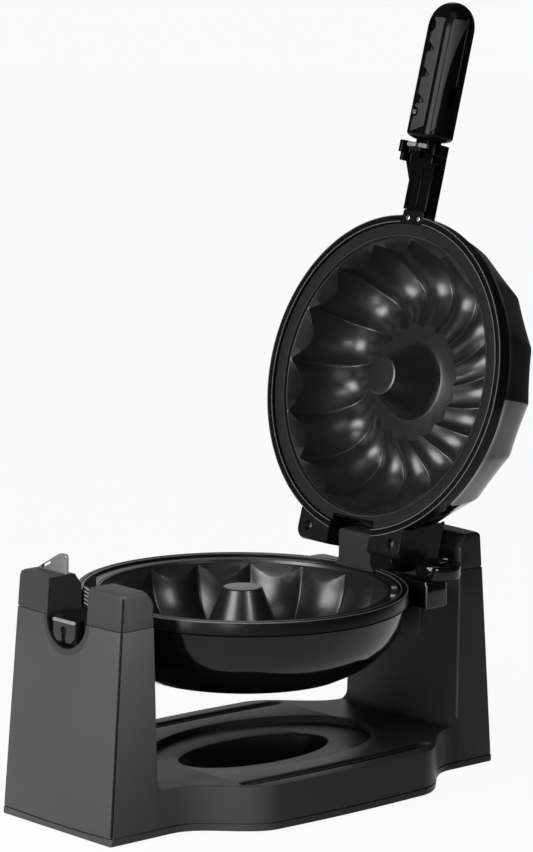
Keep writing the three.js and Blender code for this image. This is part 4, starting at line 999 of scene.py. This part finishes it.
def crown_skin():
    """The fluted shell of the lid, with the walled pocket that the riser turns into."""
    ridges = smooth_run(scaled(RIDGE, RIM_RADIUS, CROWN_DEPTH), 4)
    panels = smooth_run(scaled(PANEL, RIM_RADIUS, CROWN_DEPTH), 4)
    rings = [[(0, 0, CROWN_DEPTH)]]
    rings += [fluted(ridge, panel) for ridge, panel in zip(ridges[::-1], panels[::-1])]
    rings += [even_ring(r, z) for r, z in MOUTH]
    inner = [(r - SHELL_WALL * 1.15, z - SHELL_WALL * z / CROWN_DEPTH)
             for r, z in scaled(PANEL, RIM_RADIUS, CROWN_DEPTH)]
    rings += [even_ring(r, z) for r, z in inner]
    shell = loft(rings + [[(0, 0, CROWN_DEPTH - 3.2)]], capped=False)
    room = [(0, SHELL_TOP), (LEDGE + 0.3, SHELL_TOP), *((r + 1.6, z + 1.3) for r, z in inner),
            (0, CROWN_DEPTH - 2.6)]
    walls = riser_room(POCKET_WALL)
    common(walls, turned(room, 96))
    return carve(carve(shell, walls, how="UNION"), riser_room())


def ring_skin():
    outer, inner = RIM_RADIUS, RIM_RADIUS - RING_WIDTH
    low, high, lip = PARTING_GAP, PARTING_GAP + RING_HEIGHT, PARTING_GAP + RING_LIP
    bead = (0, 0.5), (0.4, 0.1), (0.9, 0), (2.0, 0), (2.4, 0.6), (2.9, 0.6), (3.3, 0)
    profile = [(inner, lip), *around(inner, low, *bead),
               *around(outer, low, (-1.3, 0), (-0.7, 0.15), (-0.2, 0.6), (0, 1.3)),
               *around(outer, high, (0, -0.6), (-0.6, 0), (-RING_WALL, 0)),
               (outer - RING_WALL, lip), (inner, lip)]
    return turned(profile, RIM_STEPS)


def envelope(shares, depth):
    """A body slightly larger than a shell, which cuts whatever is seated against it."""
    outer = [(r + 0.15, z + 0.15) for r, z in smooth_run(scaled(shares, RIM_RADIUS, depth), 5)]
    edge = RIM_RADIUS + 0.2
    profile = [(0, CUT_FLOOR), (edge, CUT_FLOOR), (edge, SHOULDER), *outer, (0, depth + 0.15)]
    return turned(profile, 160)


BLOCK_TURN, BEND_STEPS, TURN_STEPS = 5.0, 8, 6


def hinge_block(low, high, low_ease, high_ease):
    """One of the two housings at the hinge, drawn across the cooker, with round rear corners."""
    outline = [(HOUSING_FRONT, low),
               *arc((HOUSING_REAR - low_ease, low + low_ease), low_ease, -pi / 2, 0, BEND_STEPS),
               *arc((HOUSING_REAR - high_ease, high - high_ease), high_ease, 0, pi / 2, BEND_STEPS),
               (HOUSING_FRONT, high)]
    rings = []
    for i in (*range(-TURN_STEPS - 1, 0), *range(1, TURN_STEPS + 2)):
        angle = min(pi / 2 * (TURN_STEPS + 1 - abs(i)) / TURN_STEPS, pi / 2)
        kept = 1 - BLOCK_TURN * (1 - sin(angle)) / (HOUSING_REAR - HOUSING_FRONT)
        along = HOUSING_HALF - BLOCK_TURN * (1 - cos(angle))
        narrowed = [(HOUSING_FRONT + (x - HOUSING_FRONT) * kept, z) for x, z in outline]
        rings.append((narrowed, copysign(along, i)))
    return stacked(rings, crossways)


def lid_hinge_skin():
    slot = mid_slab(ROOM_HALF, (121.0, 150), (CUT_FLOOR, 60))
    recesses = [rod(4.0, -5, 6.9, (LUG_SCREW_X, y, 0), 32) for y in (-LUG_SCREW_Y, LUG_SCREW_Y)]
    return carve(hinge_block(PARTING_GAP, HOUSING_TOP, 4.5, 7.0), envelope(RIDGE, CROWN_DEPTH),
                 riser_room(), slot, *recesses)


def rear_housing_skin():
    return carve(hinge_block(2.4, 48.0, 1.2, 7.0), envelope(BOWL, BOWL_DEPTH))


def riser_skin():
    """The upright between the lugs, which flares at its foot and rounds over at its top."""
    low, top, front, back = -2.1, 28.0, 119.5, 141.3
    right = around(0, low, (21.8, 0), (21.7, 0.8), (20.9, 2.2), (19.6, 4.2), (18.7, 6), (18.3, 8))
    right += around(0, top, (18.3, -3), (17.9, -1.2), (17.0, -0.3), (15.6, 0))
    outline = right + [(-y, z) for y, z in reversed(right)]
    side = softened([(front, low - 4), (front, top), (back, top), (back, low - 4)], 3.4, 6)
    return common(prism(outline, front, back, lengthways), prism(side, -40, 40, crossways))


def shaft_skin():
    start, end = 141.6, 196
    flange = (0, 0), (19.4, 0), (20, 0.6), (20, 3.9), (19.4, 4.5), (13.8, 4.5), (13, 5.3)
    profile = around(0, start, *flange) + around(0, end, (13, -0.6), (12.4, 0), (0, 0))
    return turned(profile, 96, lengthways)


def half_disc(radius, drop, steps=40):
    """The part of a disc below the axis by at least the drop."""
    rise = asin(drop / radius)
    return arc((0, 0), radius, pi + rise, TAU - rise, steps)


def trunnion_skin():
    """The lower half shaft: its bracket on the bowl, its journal in the notch, and its stub."""
    bracket = soft_block((-15, 15), (-22, -1.4), (-136.5, -65), 1.6, 0.6, lengthways)
    carve(bracket, moved(envelope(BOWL, BOWL_DEPTH), Matrix.Rotation(pi, 4, "Y")))
    journal = eased_stack(half_disc(23.2, 1.4), -170, -136.2, 0.6, lengthways)
    stub = soft_block((-12.3, 12.3), (-18.6, -1.4), (-178, -169.7), 1.2, 0.5, lengthways)
    return together([bracket, journal, stub])


def trunnion_room(margin=0.0):
    """The break in the lower rim that the bracket comes out through."""
    return mid_slab(22.1 + margin, (-140, margin - 119.2), (CUT_FLOOR, 2.4))


def collar_skin():
    """The round flange beside the pedestal, with the slot that the lid's neck drops into."""
    face, back = -141.6, -136.8
    groove = (25.2, 0), (25.6, 0.6), (26.4, 0.6), (26.8, 0)
    profile = [*around(0, face, (0, 0), *groove, (27.8, 0), (28.5, 0.7)),
               *around(0, back, (28.5, -0.6), (27.9, 0), (0, 0))]
    slot = softened([(-13.9, -1.1), (13.9, -1.1), (13.9, 40), (-13.9, 40)], 1.0, 3)
    cuts = [prism(outline, -150, -120, lengthways) for outline in (slot, half_disc(23.5, 1.1))]
    return carve(turned(profile, 128, lengthways), *cuts)


def end_plate_skin():
    outline = softened([(12.3, -1.4), (-12.3, -1.4), (-12.3, -14.6), (-8.3, -18.6), (8.3, -18.6),
                        (12.3, -14.6)], 1.2, 4)
    plate = eased_stack(outline, -180.3, -178.3, 0.35, lengthways)
    keyhole = [(-2.4, -25), (2.4, -25), (2.4, -9.8), (-2.4, -9.8)]
    return carve(plate, prism(keyhole, -186, -172, lengthways),
                 rod(3.5, -186, -172, (0, 0, -9.8), 32, lengthways))


# A pale band over the end plate's top edge, which is a painted highlight.
def end_plate_highlight():
    return soft_block((-12.4, 12.4), (-3.6, -1.3), (-180.8, -178.4), 0.4, 0.4, lengthways)


def collar_ribs():
    """The short slanted ribs on the collar's face, beside its slot, coloured pale as painted
    highlights.
    """
    ribs = []
    for low in [0.6 + 3.0 * i for i in range(5)]:
        outline = [(21.5, low + 1.8), (21.5, low + 3.2), (15.0, low + 1.4), (15.0, low)]
        ribs.append(prism(softened(outline, 0.3, 3), -142.5, -141.3, lengthways))
    return together(ribs)


# Thin rings of painted highlight round each rim ring's face and round its pan, with a ring of
# painted shade beside the pan's.
PAINTED_RING_LINES = [("inner", 124.1, PARTING_GAP, FIN_AND_HIGHLIGHT_SATIN), ("outer", 129.0, PARTING_GAP, FIN_AND_HIGHLIGHT_SATIN),
              ("pan_highlight", 113.2, PLATE_FACE, PAINTED_HIGHLIGHT_SATIN),
              ("pan_shade", 113.9, PLATE_FACE, SHAFT_AND_SHADE_SATIN)]


def dress_painted_ring_lines(half, seat, rooms):
    """Fine beads of painted highlight round a rim ring's face, and of painted highlight and shade
    round its pan, clear of the rooms.
    """
    for name, inner, level, coat in PAINTED_RING_LINES:
        outer, low, high = inner + 0.6, level - 0.2, level + 0.4
        bead = turned([(inner, low), (inner, high), (outer, high), (outer, low), (inner, low)],
                      RIM_STEPS)
        settle(carve(bead, *rooms()), f"{half}_{name}_line", seat, (coat[0], "ring_grey"))


CONTROL_FRONT, CONTROL_BACK, CONTROL_END, CONTROL_FOOT = 119.0, 141.0, -84.0, -21.5


def control_skin():
    body = soft_block((CONTROL_FRONT, CONTROL_BACK), (CONTROL_END, -59.3), (CONTROL_FOOT, 0.3),
                      2.4, 0.9)
    return carve(body, rod(3.3, -12, 5, (DIAL_X, DIAL_Y, 0), 32))


def control_edge_highlights():
    """Beads of painted highlight along the edges of the control box's end."""
    y, low = CONTROL_END + 0.5, CONTROL_FOOT + 0.6
    front, back = CONTROL_FRONT + 0.5, CONTROL_BACK - 0.5
    upright_span, foot_span = (low, -2.0), (low - 0.5, low + 0.4)
    beads = (((front - 0.7, front + 0.4), (y - 0.7, y + 0.4), upright_span),
             ((back - 0.4, back + 0.7), (y - 0.7, y + 0.4), upright_span),
             ((front, back), (y - 0.6, y + 0.3), foot_span))
    return together([soft_block(*spans, 0.3, 0.3) for spans in beads])


def dial_skin():
    """The dial: a thick ring with a stepped rim round a dish, and a bar across it."""
    profile = [(0, 1), (15.6, 1), (17.2, 1.8), (17.7, 3.4), (17.7, 10.6), (17.3, 12.2),
               (16.4, 13.2), (15.2, 13.6), (14.6, 13.3), (14.2, 12.2), (13.6, 11.6), (12.8, 12.0),
               (12.0, 12.0), (11.4, 11.2), (11.0, 9.4), (10.2, 9.0), (0, 9.0)]
    bar = soft_block((-11.2, 11.2), (-2.4, 2.4), (8.5, 12.6), 1.2, 0.8)
    return together([turned(profile, 96), bar, rod(3, -7, 2)])


def rim_clip(degrees):
    """A small clip that holds the pan in its ring."""
    clip = soft_block((PLATE_RADIUS - 6.5, PLATE_RADIUS - 2.2), (-2.4, 2.4),
                      (PARTING_GAP + 0.4, 2.9), 0.6, 0.3)
    return moved(clip, Matrix.Rotation(radians(degrees), 4, "Z"))


def dress_cooker():
    settle(bowl_skin(), "bowl_skin", LOWER, SHELL_GLOSS, "lower_shell")
    ring = carve(ring_skin(), trunnion_room())
    settle(ring, "lower_ring_skin", LOWER, RIM_LACQUER, "lower_rim_ring")
    settle(plate_skin(), "lower_plate_skin", LOWER, PLATE_COAT, "lower_bake_plate", 28)
    settle(rear_housing_skin(), "rear_housing_skin", LOWER_HINGE, LUG_SATIN, "rear_housing")
    settle(riser_skin(), "riser_skin", COOKER, HINGE_SATIN, "hinge_riser")
    settle(shaft_skin(), "rear_shaft_skin", COOKER, LUG_SATIN, "rear_shaft")
    settle(trunnion_skin(), "half_shaft_skin", COOKER, SHAFT_AND_SHADE_SATIN, "front_trunnion")
    settle(collar_skin(), "collar_skin", COOKER, LUG_SATIN, "front_collar")
    settle(end_plate_skin(), "end_plate_skin", COOKER, HINGE_SATIN, "stub_end_plate")
    settle(end_plate_highlight(), "end_plate_highlight", COOKER, HIGHLIGHT_AND_PALE_SATIN)
    settle(collar_ribs(), "collar_ribs", COOKER, HIGHLIGHT_AND_PALE_SATIN)
    dress_painted_ring_lines("lower", LOWER, lambda: [trunnion_room(0.2)])
    settle(control_skin(), "control_skin", COOKER, SHELL_GLOSS, "control_housing")
    # Beads of painted highlight along the control box's edges.
    settle(control_edge_highlights(), "control_edge_highlights", COOKER, HIGHLIGHT_AND_PALE_SATIN)
    settle(dial_skin(), "dial_skin", DIAL, SHELL_GLOSS, "control_dial")
    for number, degrees in enumerate((38, 52), 1):
        settle(rim_clip(degrees), f"rim_clip_{number}", LOWER_HINGE, HIGHLIGHT_AND_PALE_SATIN)
    on_cad("lower_heater lower_thermostat shaft_retainer hinge_pin", SCREW_STEEL)
    on_cad("thermal_fuse", FUSE_BRASS)


# The lid and its handle, drawn shut.
def pocket_room():
    """The pocket with its walls, which the lid's ring and pan stay clear of."""
    return riser_room(0.3, POCKET_WALL)


def flange_skin():
    plate = soft_block((-134, -124.5), (-11.5, 11.5), (0.5, 5.0), 1.4, 0.4)
    holes = [rod(2.7, -5, 3.0, (HANDLE_SCREW_X, y, 0), 24)
             for y in (-HANDLE_SCREW_Y, HANDLE_SCREW_Y)]
    return carve(plate, *holes)


def screw_skin(radius, place, low, high):
    """A pan head with a cross recess. It looks down, out of the parting plane."""
    x, y = place
    profile = [(0, high), (radius, high),
               *around(radius, low, (0, 0.7), (-0.3, 0.25), (-0.9, 0)), (0, low)]
    cross = [slab((x - a, x + a), (y - b, y + b), (low - 1, low + 0.6))
             for a, b in ((radius * 0.55, 0.35), (0.35, radius * 0.55))]
    return carve(turned(profile, 32, shift=(x, y, 0)), *cross)


def clamp_outline(half):
    """The clamp seen along the handle: wide on its +Y side and slim on the other."""
    inner, slim = half - 4, 17.2
    outline = [(-slim, -7), (4 - slim, -7), (4 - slim, 1.2), (inner, 1.2), (inner, -7), (half, -7),
               (half, 8.5), (half - 5, 13.5), (5 - slim, 13.5), (-slim, 8.5)]
    return softened(outline, 1.4, 4)


def arm_skin():
    """The neck on the lid, the clamp over the half shaft's end, and the tongue for the grip."""
    neck = soft_block((-13.3, 13.3), (0.5, 13.5), (-176, -65), 1.6, 0.6, lengthways)
    carve(neck, envelope(RIDGE, CROWN_DEPTH), mid_slab(20, (-134.3, 0), (CUT_FLOOR, 5.3)),
          mid_slab(9.5, (-169, -137), (-5, 1.6)))
    rib = soft_block((-1.4, 1.4), (0.6, 3.0), (-170, -137), 0.6, 0.3, lengthways)
    narrow = eased_stack(clamp_outline(20.8), -178.9, -172, 0.4, lengthways)
    wide = eased_stack(clamp_outline(24), -188.4, -178.6, 0.7, lengthways)
    for body in (narrow, wide):
        carve(body, mid_slab(7, (-192.5, -176), (-13, 5.1)))
    plan = softened([(-176, 0), (-176, 20.8), (-172, 20.8), (-157, 13), (-157, 0)], 1.2, 4)
    web = eased_stack(plan, 1.2, 8.5, 0.4)
    root, step, roof = -182.5, -187.4, 5.4
    tongue = [(root, roof), (root, 9.5),
              *arc((FOLD_X, FOLD_Z), TONGUE_RADIUS, pi / 2, 1.5 * pi, TONGUE_STEPS),
              (step, -5.5), (step, roof)]
    return together([neck, rib, web, narrow, wide, eased_stack(tongue, -7, 7, 0.4, crossways)])


def latch_skin():
    return soft_block((-5, 5), (-11, 4.8), (-183.9, -180.9), 0.6, 0.3, lengthways)


def latch_tabs():
    tabs = [soft_block(x, (-186.9, -183.4), (-11, -7.3), 1.0, 0.5, swapped)
            for x in ((-11, -1.4), (1.4, 11))]
    return together(tabs)


def swapped(point):
    return (point[1], point[0], point[2])


GRIP_WIDTH, GRIP_DEPTH, GRIP_MIDDLE = 18.5, 15.5, 1.5
GRIP_START, GRIP_END, GRIP_DOME = 192.5, 303.0, 24.0
GRIP_BOXINESS, BARREL_STEPS, DOME_STEPS, DOME_POWER = 0.5, 10, 16, 2.4


def grip_section(x, scale, count=96):
    """A level round the grip between an ellipse and a box."""
    ring = []
    for i in range(count):
        angle = TAU * i / count
        y, z = [v * (1 - GRIP_BOXINESS + GRIP_BOXINESS / sqrt(max(abs(v), 1e-6)))
                for v in (cos(angle), sin(angle))]
        ring.append((-x, GRIP_WIDTH * scale * y, GRIP_MIDDLE + GRIP_DEPTH * scale * z))
    return ring


def grip_form(swell=0.0):
    """The folding grip: a rounded box section with a round heel and a domed end."""
    grown, dome = 1 + swell / GRIP_DEPTH, GRIP_END - GRIP_DOME
    rings = [[(-GRIP_START + 2.9 + swell, 0, GRIP_MIDDLE)]]
    for back, scale in ((-2.8, 0.3), (-2.5, 0.5), (-1.6, 0.7), (-0.5, 0.86), (0.6, 0.95),
                        (1.4, 0.98), (2.6, 1.0)):
        rings.append(grip_section(GRIP_START + back - swell, scale * grown))
    first = GRIP_START + 8
    for i in range(BARREL_STEPS + 1):
        rings.append(grip_section(first + (dome - first) * i / BARREL_STEPS, grown))
    for i in range(1, DOME_STEPS):
        share = sin(pi / 2 * i / DOME_STEPS)
        scale = grown * sqrt(1 - share ** DOME_POWER)
        rings.append(grip_section(dome + GRIP_DOME * share, scale))
    return loft(rings + [[(-GRIP_END - swell, 0, GRIP_MIDDLE)]], capped=False)


NOTCHES = (-220.4, -242.1, -262.8)
THUMB_HOLE, EYELET = (-281.0, 7.5), (-211.0, 6.5)


def finger_notches(reach, rise=0.0):
    """Notches like saw teeth that reach in from the +Y edge of the underside."""
    tools = []
    for x in NOTCHES:
        outline = [(x - 13, 30), (x + 3.4, 30), (x + 2.8, reach + 5), (x + 1.4, reach),
                   (x + 0.2, reach), (x - 5, reach + 6)]
        tools.append(prism(softened(outline, 0.5, 3), -30, rise - 9.6))
    return tools


def hole_tools(radius):
    return [rod(radius, -20, -9.0, (*THUMB_HOLE, 0)),
            rod(radius - 1.6, -20, -9.5, (*EYELET, 0), 32)]


def grip_slot():
    """Room for the tongue, open to the top of the grip."""
    room, side = 8.1, 7.6
    return [mid_slab(side, (FOLD_X, -186.5), (FOLD_Z - room, 30)),
            mid_slab(side, (FOLD_X - room, FOLD_X), (FOLD_Z, 30)),
            rod(room, -side, side, (FOLD_X, 0, FOLD_Z), way=crossways)]


def grip_shell(upper):
    half = mid_slab(30, (-320, -180), (1.65, 30) if upper else (-30, 1.35))
    body = common(grip_form(), half)
    tools = grip_slot()
    if not upper:
        tools += finger_notches(0.5) + hole_tools(5.2)
        tools.append(slab((-289, -193), (-13.0, -6.6), (-20, -13.2)))
    tools.append(slab((-233, -218), (-25, -15.6), (-4.5, 3.5)))
    return carve(body, *tools)


def grip_reflection_patch():
    """A pale patch of painted reflection under the grip, with its notches and holes, a little proud
    of the surface.
    """
    outline = softened([(-200.5, -6.5), (-195.0, 8.0), (-288, 5.0), (-288, -6.5)], 1.2, 4)
    body = common(prism(outline, -30, -8), grip_form(0.25))
    return carve(body, *finger_notches(-1.2, -0.8), *hole_tools(5.6))


def side_reflection_patch():
    """A pale patch of painted reflection on the grip's -Y side, which widens towards the domed end.
    """
    outline = softened([(-194, -14.4), (-288, -14.4), (-289, 1.6), (-283, -0.6), (-275, -3.6),
                        (-264, -6.4), (-248, -8.4), (-228, -9.4), (-200, -9.6)], 1.0, 3)
    return common(prism(outline, -30, -13.4, crossways), grip_form(0.25))


def seam_highlight():
    """A thin line of painted highlight on the parting line of the grip's -Y side."""
    return common(slab((-291, -236), (-30, -12), (0.9, 2.1)), grip_form(0.3))


def eyelet_skin():
    profile = [(0, -15.0), (1.6, -15.0), (2.1, -14.4), (2.1, -9.0), (0, -9.0)]
    return turned(profile, 32, shift=(*EYELET, 0))


def dress_lid():
    settle(crown_skin(), "lid_crown_skin", LID, SHELL_GLOSS, "lid_shell")
    ring = carve(ring_skin(), pocket_room(), mid_slab(11.8, (-134, -124.2), (CUT_FLOOR, 5.3)))
    settle(ring, "lid_ring_skin", LID, RIM_LACQUER, "lid_rim_ring")
    plate = carve(plate_skin(), pocket_room())
    settle(plate, "lid_plate_skin", LID, PLATE_COAT, "lid_bake_plate", 28)
    settle(lid_hinge_skin(), "lid_hinge_skin", LID, LUG_SATIN, "lid_hinge_housing")
    dress_painted_ring_lines("lid", LID,
                     lambda: [pocket_room(), mid_slab(12.3, (-134, -120), (CUT_FLOOR, 6))])
    settle(flange_skin(), "flange_skin", LID, RIM_LACQUER, "handle_flange")
    for side, sign in (("right", -1), ("left", 1)):
        heads = (("lug", 3.2, (LUG_SCREW_X, sign * LUG_SCREW_Y), 3.7, 6.6),
                 ("handle", 2.4, (HANDLE_SCREW_X, sign * HANDLE_SCREW_Y), 0.8, 2.7))
        for what, *head in heads:
            name = f"{what}_screw_{side}"
            settle(screw_skin(*head), f"{name}_head", LID, SCREW_STEEL, name)
    settle(arm_skin(), "arm_skin", LID, GRIP_GLOSS, "handle_arm")
    settle(latch_skin(), "latch_skin", LATCH, LUG_SATIN, "latch_slide")
    settle(latch_tabs(), "latch_tabs", LATCH, HIGHLIGHT_AND_PALE_SATIN)
    settle(grip_shell(True), "grip_top_skin", GRIP, GRIP_GLOSS, "grip_upper_shell")
    settle(grip_shell(False), "grip_under_skin", GRIP, GRIP_GLOSS, "grip_lower_shell")
    settle(grip_reflection_patch(), "grip_reflection_patch", GRIP, PAINTED_HIGHLIGHT_SATIN)
    settle(side_reflection_patch(), "grip_side_reflection_patch", GRIP, PAINTED_HIGHLIGHT_SATIN)
    settle(seam_highlight(), "grip_seam_highlight", GRIP, PAINTED_HIGHLIGHT_SATIN)
    settle(eyelet_skin(), "grip_eyelet", GRIP, SCREW_STEEL)
    on_cad("lid_heater lid_thermostat fold_pin", SCREW_STEEL)


dress_stand()
dress_cooker()
dress_lid()
set_camera()
set_light()
set_studio()
